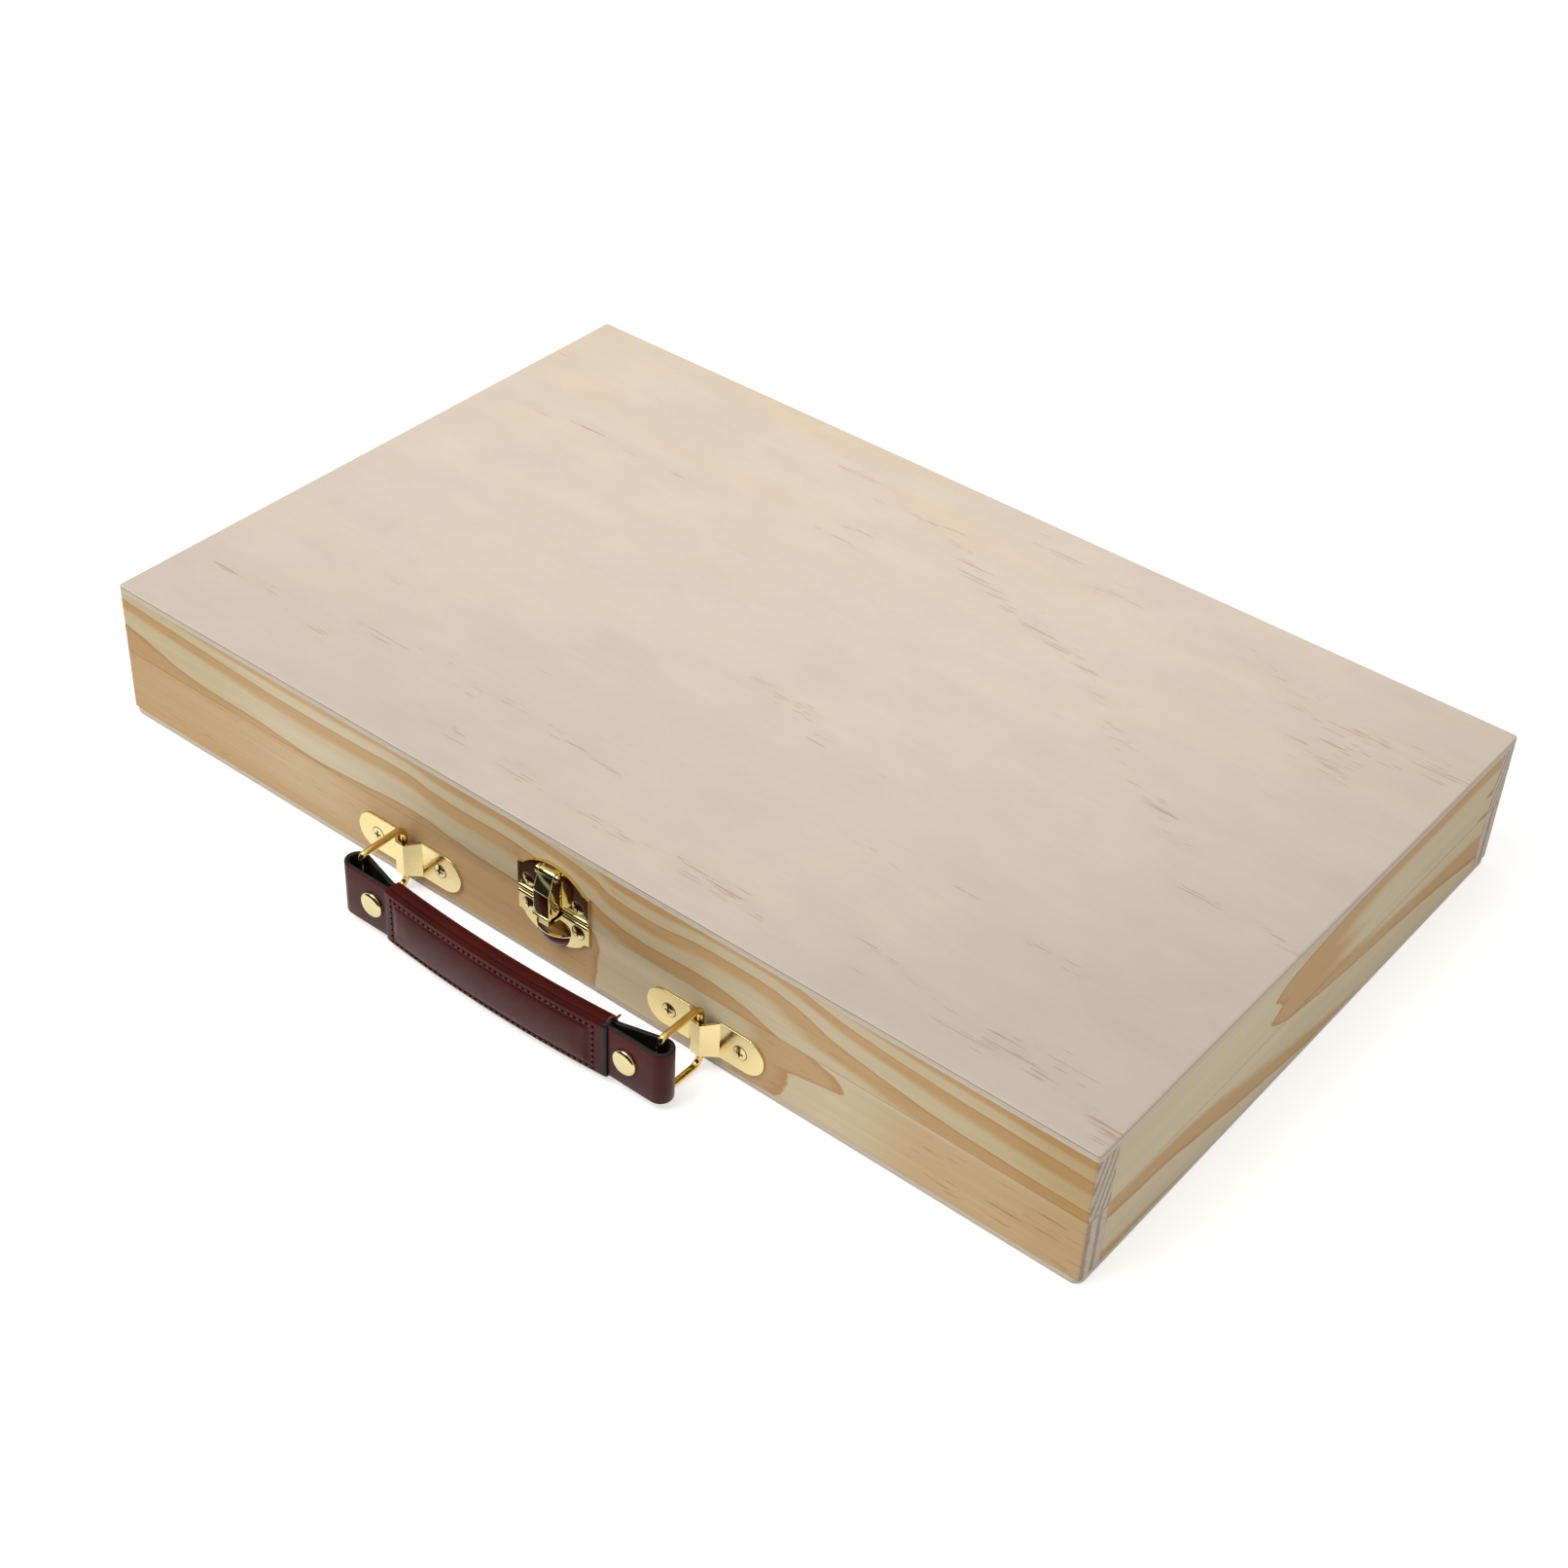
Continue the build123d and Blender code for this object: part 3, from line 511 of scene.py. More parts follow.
def front_warmth(tree, x, z):
    """How honey-coloured the front is: most at its ends and the latch, and more in the lid."""
    warm = profile(tree, x, (
        (-185, 0.5), (-150, 0.45), (-125, 0.2), (-100, 0.0), (-75, 0.08), (-50, 0.3), (-20, 0.42),
        (25, 0.58), (50, 0.5), (75, 0.18), (100, 0.18), (125, 0.35), (150, 0.48), (170, 0.85),
        (185, 1.0),
    ))
    warm = times(tree, warm, ramp(tree, z, 0.0235, 0.0265, 0.5, 1.0))
    # Less honey where the front's foot carries painted light
    return times(tree, warm, less(tree, 1.0, front_painted_fill_light(tree, x, z)))


def side_warmth(tree, y, z):
    """The right side is a little warmer than the front, most at its two ends."""
    return profile(tree, y, (
        (-115, 0.3), (-90, 0.12), (-50, 0.05), (0, 0.15), (50, 0.2), (115, 0.4),
    ))


def end_grain(tree, position, across, height):
    """Sawn ends: rings cut across, slanting in the lid and upright in the base."""
    slant = scaled(tree, height, LID_END_SLANT, across)
    lid = times(tree, slant, LID_END_RINGS)
    base = times(tree, across, BASE_END_RINGS)
    count = between(tree, ramp(tree, height, 0.0245, 0.0255), base, lid)
    count = scaled(tree, noise(tree, position, 260.0, 4.0, 0.6), 0.5, count)
    late = use(tree, GROWTH_RINGS, {"Ring": count, "Late share": 0.55})["Late wood"]
    mixed = blend(tree, late, (206, 191, 170), (168, 148, 130))
    specks = noise(tree, position, 1900.0)
    return blend(tree, ramp(tree, specks, 0.5, 0.8, 0.0, 0.5), mixed, (120, 98, 82))


def board_material(
    name, grain, ring_count, seed, late_share, core_share=None, warmth=None, front=False
):
    """Planed pine: growth rings, fine grain and pores, and rings across the sawn ends."""
    material, tree, position = new_material(name)
    x, y, z = parts_of(tree, position)
    along, across, outer_face = (x, y, -FRONT_Y) if grain == "X" else (y, x, BOX_END)
    running = point(tree, along, across, z)
    wobble = noise(tree, running, (28.0, 95.0, 95.0), 3.0, offset=(seed, 0.0, 0.0))
    fray = noise(tree, running, (60.0, 900.0, 900.0))
    depth = less(tree, outer_face * MM, calc(tree, "ABSOLUTE", across))
    ring = scaled(tree, depth, RINGS_INWARD, ring_count(tree, along, z))
    ring = scaled(tree, less(tree, wobble, 0.5), 0.09, ring)
    ring = scaled(tree, less(tree, fray, 0.5), 0.025, ring)
    share = ramp(tree, ring, -0.02, 0.02, core_share, late_share) if core_share else late_share
    rings = use(tree, GROWTH_RINGS, {"Ring": ring, "Late share": share})
    late, line = rings["Late wood"], rings["Line"]
    pores = times(tree, late, 0.55)
    if front:
        plain = front_plain_area(tree, x, z)
        late = most(tree, times(tree, late, front_tan_kept(tree, x, z)), plain)
        line = times(tree, line, less(tree, 1.0, plain))
        pores = scaled(tree, plain, 1.05, pores)
    grained = use(tree, FINE_GRAIN, {"Position": running, "Pores": pores})
    pale = blend(tree, grained["Mottling"], (222, 207, 175), (213, 197, 165))
    tan = blend(tree, grained["Mottling"], (215, 182, 136), (204, 170, 125))
    face = blend(tree, late, pale, tan)
    face = blend(tree, times(tree, line, 0.6), face, (184, 140, 92))
    face = blend(tree, times(tree, grained["Pores"], 0.5), face, (150, 106, 66))
    face = shade(tree, face, ramp(tree, grained["Streaks"], 0.3, 0.7, 0.93, 1.05, smooth=False))
    # Painted light: brightens the front's foot behind the handle, where the handle casts shade
    if front:
        face = blend(tree, front_painted_fill_light(tree, x, z), face, PAINTED_FILL_LIGHT, "MULTIPLY")
    if warmth:
        honey = scaled(tree, late, 0.2 if front else 0.42, warmth(tree, along, z))
        face = blend(tree, honey, face, HONEY, "MULTIPLY")
    tint = blend(tree, facing(tree, grain), face, end_grain(tree, position, across, z))
    rough = scaled(tree, grained["Streaks"], 0.2, 0.5)
    height = scaled(tree, grained["Streaks"], 0.6, times(tree, grained["Pores"], -0.8))
    return set_shader(material, tint, rough, 0.35, bump(tree, height, 0.06, 0.7))


def divider_material():
    """Thin sawn strips for the compartments, with a fine straight grain."""
    material, tree, position = new_material("divider_pine")
    grained = use(tree, FINE_GRAIN, {"Position": position, "Pores": 0.3})
    bands = noise(tree, position, (9.0, 60.0, 260.0), 3.0)
    face = blend(tree, bands, (226, 207, 172), (206, 176, 134))
    face = blend(tree, times(tree, grained["Pores"], 0.5), face, (150, 108, 70))
    rough = scaled(tree, grained["Streaks"], 0.2, 0.55)
    return set_shader(material, face, rough, 0.3, bump(tree, grained["Streaks"], 0.06, 0.6))


# Plywood

PLY_LAYERS = (
    (0.0, (176, 160, 138)), (0.08, (208, 196, 176)), (0.34, (216, 205, 187)),
    (0.42, (202, 188, 168)), (0.68, (214, 203, 186)), (0.75, (146, 126, 104)),
    (0.80, (150, 130, 108)), (0.86, (222, 210, 190)), (1.0, (226, 214, 196)),
)

# Where the pores drift together: both ends of a line on the panel, and its width
PORE_DRIFTS = (
    ((-60, 97), (-10, 87), 6), ((-10, 87), (27, 67), 7), ((27, 67), (65, 55), 6),
    ((65, 55), (92, 34), 5), ((92, 34), (128, 7), 6), ((128, 7), (148, -13), 6),
    ((148, -13), (185, -16), 5), ((110, 88), (150, 66), 14), ((150, 82), (185, 80), 12),
    ((-4, -20), (20, -22), 4),
    ((27, -30), (52, -32), 4), ((65, -57), (145, -63), 5), ((-170, -86), (-117, -91), 5),
    ((-117, -78), (-5, -80), 5), ((-67, -98), (65, -101), 5), ((90, -94), (185, -104), 9),
    ((160, -100), (185, -106), 10), ((-162, 55), (-85, 52), 4), ((-42, 59), (0, 57), 3),
    ((-60, 70), (-10, 68), 4), ((20, 100), (60, 96), 8),
)
DRIFT_SPREAD = 1.6

# The grey of painted shade, as if the light fell off from the back left
PAINTED_FALLOFF_GREY = (225, 224, 223)


def layered_edge(tree, z, position, layers):
    """The plywood's cut edge: two pale veneers, thin dark glue lines and a grey core."""
    inner, outer = in_metres(layers)
    ply = add(tree, "ValToRGB", {"Fac": ramp(tree, z, inner, outer, smooth=False)})
    stops = ply.color_ramp.elements
    for place, tint in PLY_LAYERS[1:-1]:
        stops.new(place).color = colour(*tint)
    stops[0].color = colour(*PLY_LAYERS[0][1])
    stops[-1].color = colour(*PLY_LAYERS[-1][1])
    fibres = noise(tree, position, (160.0, 160.0, 2600.0), 3.0, 0.6)
    frayed = ramp(tree, fibres, 0.55, 0.78, 0.0, 0.5)
    return blend(tree, frayed, ply.outputs["Color"], (150, 134, 116))


def plywood_material(name, layers, streak_side):
    """A sanded veneer with short reddish pores in drifts, painted shade that darkens it towards the
    front and one end, and layered cut edges.
    """
    material, tree, position = new_material(name)
    x, y, z = parts_of(tree, position)
    flat_x = times(tree, x, streak_side)
    flat = point(tree, flat_x, y, 0.0)
    drift = None
    for start, stop, width in PORE_DRIFTS:
        mask = use(tree, STREAK_LINE, {
            "Position": flat, "Width": DRIFT_SPREAD * width * MM,
            "From": in_metres((*start, 0)), "To": in_metres((*stop, 0)),
        })["Mask"]
        drift = mask if drift is None else most(tree, drift, mask)
    streaks = use(tree, FINE_GRAIN, {"Position": flat, "Pores": 0.2})["Streaks"]
    ragged = noise(tree, flat, (30.0, 190.0, 1.0), offset=(5.0, 1.0, 0.0))
    drift = times(tree, drift, ramp(tree, ragged, 0.38, 0.62))
    long_dashes = noise(tree, flat, (46.0, 1700.0, 1.0), 1.0, 0.4)
    short_dashes = noise(tree, flat, (105.0, 2100.0, 1.0), 1.0, offset=(9.0, 4.0, 0.0))
    lowest = ramp(tree, drift, 0.0, 1.0, 0.79, 0.60, smooth=False)
    pores = ramp(tree, less(tree, long_dashes, lowest), 0.0, 0.05)
    pores = most(tree, pores, ramp(tree, less(tree, short_dashes, lowest), 0.0, 0.06))
    broad = noise(tree, flat, (7.0, 16.0, 1.0), 3.0, 0.55, offset=(3.1, 0.4, 0.0))
    face = blend(tree, ramp(tree, broad, 0.3, 0.7), (237, 221, 204), (232, 217, 203))
    warm = noise(tree, flat, (9.0, 38.0, 1.0), offset=(0.7, 2.2, 0.0))
    corner = ramp(tree, y, 0.0, 0.10, 0.15, 1.0)
    corner = times(tree, corner, ramp(tree, flat_x, -0.19, 0.12, 1.0, 0.35))
    warmth = times(tree, ramp(tree, warm, 0.42, 0.72, 0.25, 0.9), corner)
    face = blend(tree, warmth, face, (243, 221, 186))
    face = blend(tree, times(tree, drift, 0.07), face, (208, 180, 146))
    face = blend(tree, times(tree, pores, 0.6), face, (190, 144, 114))
    cloud = noise(tree, flat, (34.0, 60.0, 1.0), 4.0, 0.6, offset=(1.4, 7.7, 0.0))
    streaked = ramp(tree, streaks, 0.3, 0.7, 0.985, 1.012, smooth=False)
    streaked = times(tree, streaked, ramp(tree, cloud, 0.3, 0.7, 0.965, 1.03, smooth=False))
    face = shade(tree, face, streaked)
    # Painted shade: the panel darkens towards the front, and towards the right end of the lid and
    # the left end of the base, as light falling from the back left would make it
    painted_shade_front = profile(tree, y, (
        (-115, 0.85), (-100, 0.76), (-60, 0.54), (-20, 0.36), (20, 0.22), (60, 0.1), (115, 0.05),
    ))
    painted_shade_right = profile(tree, flat_x, ((60, 0.0), (105, 0.18), (140, 0.33), (185, 0.6)))
    face = blend(tree, calc(tree, "ADD", painted_shade_front, painted_shade_right), face, PAINTED_FALLOFF_GREY, "MULTIPLY")
    tint = blend(tree, facing(tree, "Z", 0.45, 0.6), layered_edge(tree, z, position, layers), face)
    rough = scaled(tree, streaks, 0.15, 0.55)
    height = scaled(tree, streaks, 0.5, times(tree, pores, -1.0))
    return set_shader(material, tint, rough, 0.3, bump(tree, height, 0.05, 0.6))


# Brass

def brass_material(
    name, bright, deep, rough_low, rough_high, painted_dark_mask=None, painted_dark_tint=None, dulled=None
):
    """Polished brass with faint clouding, fine scuffs and tiny pits, and a painted dark mark,
    painted shade or a painted reflection, if one is given.
    """
    material, tree, position = new_material(name)
    worn = use(tree, WEAR, {"Position": position, "Scale": 160.0})
    clouds = noise(tree, position, 45.0, 3.0)
    scuffs = noise(tree, position, (300.0, 300.0, 2600.0), 3.0, 0.7, turn=(0.3, 0.5, 0.2))
    tint = blend(tree, ramp(tree, clouds, 0.3, 0.75), bright, deep)
    tint = blend(tree, times(tree, worn["Specks"], 0.35), tint, (150, 112, 52))
    rubbed = scaled(tree, scuffs, 0.6, times(tree, worn["Wear"], 0.4))
    rough = ramp(tree, rubbed, 0.2, 0.8, rough_low, rough_high)
    metal = 1.0
    # Painted shade or a painted reflection, where a mask is given
    if painted_dark_mask:
        mask = painted_dark_mask(tree, position)
        tint = blend(tree, mask, tint, painted_dark_tint)
        metal = less(tree, 1.0, times(tree, mask, dulled)) if dulled else metal
    relief = bump(tree, scuffs, 0.01, 0.3)
    return set_shader(material, tint, rough, normal=relief, others={"Metallic": metal})


def cup_painted_reflection(tree, position):
    """Finds the outside of the pressed cup in the lower latch plate, where a dark red reflection is
    painted.
    """
    x, y, z = parts_of(tree, position)
    face = FRONT_Y - LATCH_SHEET
    proud = ramp(tree, y, (face - 0.05) * MM, (face - 0.35) * MM)
    middle = in_metres((LATCH_X, CUP_MIDDLE_Y, CUP_TOP))
    away = point(tree, *(less(tree, part, centre) for part, centre in zip((x, y, z), middle)))
    distance = add(tree, "VectorMath", {0: away}, operation="LENGTH").outputs["Value"]
    outside = ramp(tree, distance, (CUP_ROUND - 0.35) * MM, (CUP_ROUND - 0.15) * MM)
    below = ramp(tree, z, (CUP_TOP - 0.25) * MM, (CUP_TOP - 0.45) * MM)
    return times(tree, times(tree, proud, outside), below)


def screw_material(name, sheet):
    """Brass screws with painted shade in the cross, which is found by its depth, and on the head's
    sides.
    """
    # Painted shade: the cross and the head's sides are darkened and made less metallic
    def painted_recess_shade(tree, position):
        away = calc(tree, "ABSOLUTE", parts_of(tree, position)["Y"])
        deep = ramp(tree, less(tree, away, (sheet - FRONT_Y) * MM), 0.00002, 0.00016, 1.0, 0.0)
        return most(tree, deep, less(tree, 1.0, facing(tree, "Y", 0.3, 0.75)))

    return brass_material(
        name, (232, 214, 158), (222, 200, 140), 0.10, 0.22, painted_recess_shade, (72, 48, 30), 0.9
    )


# Handle materials

def leather_material(name, base, light, gloss, shine):
    """Dyed leather: a fine pebbled grain, soft creases and rubbed lighter patches."""
    material, tree, position = new_material(name)
    sockets = {"Vector": position, "Scale": 1500.0}
    cells = add(tree, "TexVoronoi", sockets, feature="DISTANCE_TO_EDGE")
    pebbles = ramp(tree, cells.outputs["Distance"], 0.0, 0.22)
    creases = noise(tree, position, (90.0, 240.0, 240.0), 3.0)
    cloudy = noise(tree, position, 70.0, 3.0)
    tint = blend(tree, ramp(tree, cloudy, 0.3, 0.75), base, light)
    tint = blend(tree, ramp(tree, pebbles, 0.0, 1.0, 0.35, 0.0), tint, (30, 8, 8))
    rubbed = scaled(tree, creases, 0.6, times(tree, cloudy, 0.4))
    rough = ramp(tree, rubbed, 0.3, 0.7, gloss - 0.05, gloss + 0.09)
    height = scaled(tree, pebbles, 0.5, creases)
    return set_shader(material, tint, rough, shine, bump(tree, height, 0.04, 0.35))


def edge_paint_material():
    """The black paint on the leather's cut edges, ridged and rubbed."""
    material, tree, position = new_material("edge_paint")
    worn = use(tree, WEAR, {"Position": position, "Scale": 240.0})
    ridges = noise(tree, position, (500.0, 500.0, 1600.0), 3.0)
    tint = blend(tree, worn["Wear"], (18, 15, 15), (34, 28, 27))
    rough = scaled(tree, ridges, 0.25, 0.3)
    return set_shader(material, tint, rough, 0.25, bump(tree, ridges, 0.05, 0.5))


def two_toned(name, pattern, dark, light, roughest, shine=0.5, relief=None):
    """A material whose pattern mixes two colours and sets its roughness and its relief."""
    material, tree, position = new_material(name)
    share = pattern(tree, position)
    tint = blend(tree, share, dark, light)
    normal = bump(tree, share, *relief) if relief else None
    return set_shader(material, tint, scaled(tree, share, 0.2, roughest), shine, normal)


def twisted_plies(tree, position):
    sockets = {"Vector": position, "Scale": 900.0, "Distortion": 1.5}
    return add(tree, "TexWave", sockets, bands_direction="DIAGONAL").outputs["Fac"]


# Painted shade for the needle holes: noise between two near-black reds
def hole_shade_noise(tree, position):
    return noise(tree, position, 1400.0)


def pressed_fibres(tree, position):
    return noise(tree, position, 900.0, 4.0, 0.7)


FRONT_BOARD = board_material(
    "front_board_pine", "X", front_ring_count, 0.0, 0.62, warmth=front_warmth, front=True
)
REAR_BOARD = board_material("rear_board_pine", "X", rear_ring_count, 4.2, 0.45)
RIGHT_BOARD = board_material(
    "right_board_pine", "Y", right_ring_count, 1.7, 0.44, 0.64, side_warmth
)
LEFT_BOARD = board_material("left_board_pine", "Y", left_ring_count, 7.3, 0.4)
LID_PANEL = plywood_material("lid_plywood", LID_PLY, 1.0)
BASE_PANEL = plywood_material("base_plywood", BASE_PLY, -1.0)
DIVIDER = divider_material()
LATCH_TINTS = ((236, 220, 166), (228, 208, 150))
BRASS_PLATE = brass_material("brass_plate", (234, 218, 166), (226, 206, 148), 0.10, 0.22)
LATCH_BRASS = brass_material("latch_brass", *LATCH_TINTS, 0.03, 0.09)
# Painted reflection: the cup's outside in the lower plate is tinted dark leather red, standing in
# for the reflection of the handle
LOWER_PLATE = brass_material(
    "latch_plate_brass", *LATCH_TINTS, 0.03, 0.09, cup_painted_reflection, (58, 18, 14)
)
RIVET_BRASS = brass_material("rivet_brass", (222, 208, 160), (212, 196, 144), 0.10, 0.18)
BRASS_WIRE = brass_material("brass_wire", (226, 196, 124), (212, 178, 102), 0.10, 0.20)
BRACKET_SCREW = screw_material("bracket_screw_brass", BRACKET_SHEET)
LATCH_SCREW = screw_material("latch_screw_brass", LATCH_SHEET)
HINGE_SCREW = screw_material("hinge_screw_brass", HINGE_SHEET)
MAROON_LEATHER = leather_material("maroon_leather", (70, 18, 14), (84, 26, 21), 0.31, 0.14)
SEAM_LEATHER = leather_material("seam_leather", (68, 13, 9), (82, 20, 14), 0.50, 0.08)
EDGE_PAINT = edge_paint_material()
THREAD = two_toned(
    "waxed_thread", twisted_plies, (70, 20, 18), (118, 52, 46), 0.45, relief=(0.06, 0.6)
)
# Painted shade: the needle holes are dark ovals standing in for the shade inside each hole
NEEDLE_HOLE_SHADE = two_toned("needle_hole_shade", hole_shade_noise, (22, 4, 4), (42, 9, 8), 0.75, 0.1)
STIFFENER = two_toned(
    "stiffener_board", pressed_fibres, (40, 32, 28), (78, 64, 54), 0.65, relief=(0.1, 0.6)
)

FINISHES = {
    FRONT_BOARD: ("base_front_wall", "lid_front_wall"),
    REAR_BOARD: ("base_rear_wall", "lid_rear_wall"),
    RIGHT_BOARD: ("base_right_wall", "lid_right_wall"),
    LEFT_BOARD: ("base_left_wall", "lid_left_wall"),
    LID_PANEL: ("lid_top_panel",),
    BASE_PANEL: ("base_bottom_panel",),
    DIVIDER: ("long_divider", "cross_divider_1", "cross_divider_2"),
    BRASS_WIRE: ("ring_left", "ring_right"),
    LATCH_BRASS: ("latch_top_plate", "latch_hasp", "latch_pin"),
    LOWER_PLATE: ("latch_lower_plate",),
    BRACKET_SCREW: ("bracket_screws",),
    LATCH_SCREW: ("latch_top_screws", "latch_lower_screws"),
    HINGE_SCREW: ("hinge_base_screws", "hinge_lid_screws"),
    STIFFENER: ("handle_core",),
}


def finish_nodes():
    """Gives every CAD node its material: brass if none is listed."""
    chosen = {node: material for material, nodes in FINISHES.items() for node in nodes}
    for name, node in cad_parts.items():
        node.data.materials.clear()
        node.data.materials.append(chosen.get(name, BRASS_PLATE))


# Modelling helpers

def edit():
    bpy.ops.object.mode_set(mode="EDIT")


def stop_editing():
    bpy.ops.object.mode_set(mode="OBJECT")


def begin(name, primitive, **settings):
    """Adds a primitive, names it, puts its place and turn into its mesh, and opens it."""
    bpy.ops.object.select_all(action="DESELECT")
    primitive(**settings)
    piece = bpy.context.object
    piece.name = name
    bpy.ops.object.transform_apply(location=True, rotation=True, scale=True)
    edit()
    return piece


def coat(piece, *materials):
    for material in materials:
        piece.data.materials.append(material)


def pick_all():
    bpy.ops.mesh.select_all(action="SELECT")


def pick(kind, test=lambda at, normal: True):
    """Selects the points, edges or faces whose middle, in millimetres, and normal pass a test."""
    bpy.ops.mesh.select_mode(type=kind)
    bpy.ops.mesh.select_all(action="DESELECT")
    piece = bpy.context.edit_object
    mesh = bmesh.from_edit_mesh(piece.data)
    parts = {"VERT": mesh.verts, "EDGE": mesh.edges, "FACE": mesh.faces}[kind]
    for part in parts:
        corners = [part] if kind == "VERT" else part.verts
        middle = sum((corner.co for corner in corners), Vector()) / (len(corners) * MM)
        normal = part.normal if kind != "EDGE" else Vector()
        if test(middle, normal):
            part.select_set(True)
    bmesh.update_edit_mesh(piece.data)


def shift(x=0.0, y=0.0, z=0.0):
    bpy.ops.transform.translate(value=in_metres((x, y, z)))


def extend(x=0.0, y=0.0, z=0.0):
    bpy.ops.mesh.extrude_edges_move(TRANSFORM_OT_translate={"value": in_metres((x, y, z))})


def draw_out(x, y, z):
    bpy.ops.mesh.extrude_region_move(TRANSFORM_OT_translate={"value": in_metres((x, y, z))})


def cut(axis, place):
    """Cuts the whole mesh across one axis, at a place in millimetres."""
    pick_all()
    direction = [float(letter == axis) for letter in "XYZ"]
    spot = [part * place * MM for part in direction]
    bpy.ops.mesh.bisect(plane_co=spot, plane_no=direction)


def face_outwards():
    pick_all()
    bpy.ops.mesh.normals_make_consistent()


def settle(piece, *modifiers):
    """Adds modifiers one after another and applies each."""
    stop_editing()
    for kind, settings in modifiers:
        made = piece.modifiers.new(kind.lower(), kind)
        for name, value in settings.items():
            setattr(made, name, value)
        bpy.ops.object.modifier_apply(modifier=made.name)


def wall(thickness, rim_slot=0):
    """A modifier that thickens a sheet inwards, with the slot of its rim and its other side."""
    return "SOLIDIFY", {
        "thickness": thickness * MM, "use_even_offset": True,
        "material_offset": rim_slot, "material_offset_rim": rim_slot,
    }


def rounding(width, degrees):
    """A modifier that rounds the edges sharper than an angle."""
    return "BEVEL", {
        "width": width * MM, "segments": 3, "limit_method": "ANGLE",
        "angle_limit": math.radians(degrees),
    }


def rounder(levels):
    return "SUBSURF", {"levels": levels, "render_levels": levels}


def join(pieces):
    for piece in pieces:
        piece.select_set(True)
    bpy.context.view_layer.objects.active = pieces[0]
    bpy.ops.object.join()
    return pieces[0]


def smooth(piece, degrees=40.0):
    bpy.ops.object.select_all(action="DESELECT")
    piece.select_set(True)
    bpy.context.view_layer.objects.active = piece
    bpy.ops.object.shade_smooth_by_angle(angle=math.radians(degrees))


# Handle

def bow_at(x):
    """How far the handle bows forward at a distance from its middle."""
    return HANDLE_BOW * (1 - min(abs(x) / STRAP_JOIN, 1.0) ** 2)


def bend_forward(piece):
    """Bends a straight part of the handle to the bow, its middle staying in place."""
    length = piece.dimensions.x / MM
    angle = length * 8 * HANDLE_BOW / SLEEVE_LENGTH ** 2
    settle(piece, ("SIMPLE_DEFORM", {"deform_method": "BEND", "deform_axis": "Z", "angle": angle}))


def place_on_handle(piece):
    """Bends a finished part of the sleeve and moves it to the handle."""
    bend_forward(piece)
    edit()
    pick_all()
    shift(0, SLEEVE_MIDDLE_Y, HANDLE_Z)
    stop_editing()


def make_strap():
    """One band of leather, drawn along its outer face and folded round both rings."""
    strap = begin("leather_strap", bpy.ops.mesh.primitive_plane_add, size=1.0, rotation=TO_FRONT)
    step = STRAP_JOIN / BOW_STEPS
    bpy.ops.transform.resize(value=(step * MM, 1.0, STRAP_WIDTH * MM))
    shift(step / 2, STRAP_FRONT - bow_at(0), HANDLE_Z)
    pick("VERT", lambda at, normal: at.x > step / 2)
    shift(0, bow_at(0) - bow_at(step), 0)
    pick("EDGE", lambda at, normal: at.x > step * 0.9)
    for number in range(1, BOW_STEPS):
        extend(step, bow_at(number * step) - bow_at((number + 1) * step))
    for _ in range(LOOP_STEPS):
        extend((LOOP_X - STRAP_JOIN) / LOOP_STEPS)
    centre = in_metres((LOOP_X, LOOP_Y, HANDLE_Z))
    turn = -math.radians(LOOP_TURN)
    bpy.ops.mesh.spin(steps=LOOP_FACES, angle=turn, center=centre, axis=(0, 0, 1))
    for _ in range(LOOP_STEPS):
        extend((STRAP_JOIN - LOOP_END_X) / LOOP_STEPS, (STRAP_BACK - LOOP_END_Y) / LOOP_STEPS)
    for number in range(BOW_STEPS, 0, -1):
        extend(-step, bow_at(number * step) - bow_at((number - 1) * step))
    pick_all()
    bpy.ops.mesh.remove_doubles(threshold=0.01 * MM)
    for share in (0.33, 0.66):
        cut("Z", HANDLE_Z + STRAP_WIDTH * (share - 0.5))
    coat(strap, MAROON_LEATHER, EDGE_PAINT)
    settle(strap, ("MIRROR", {"use_axis": (True, False, False), "merge_threshold": 0.05 * MM}))
    edit()
    face_outwards()
    settle(strap, wall(LEATHER, 1), rounding(STRAP_ROUND, 50))
    smooth(strap)
    return strap


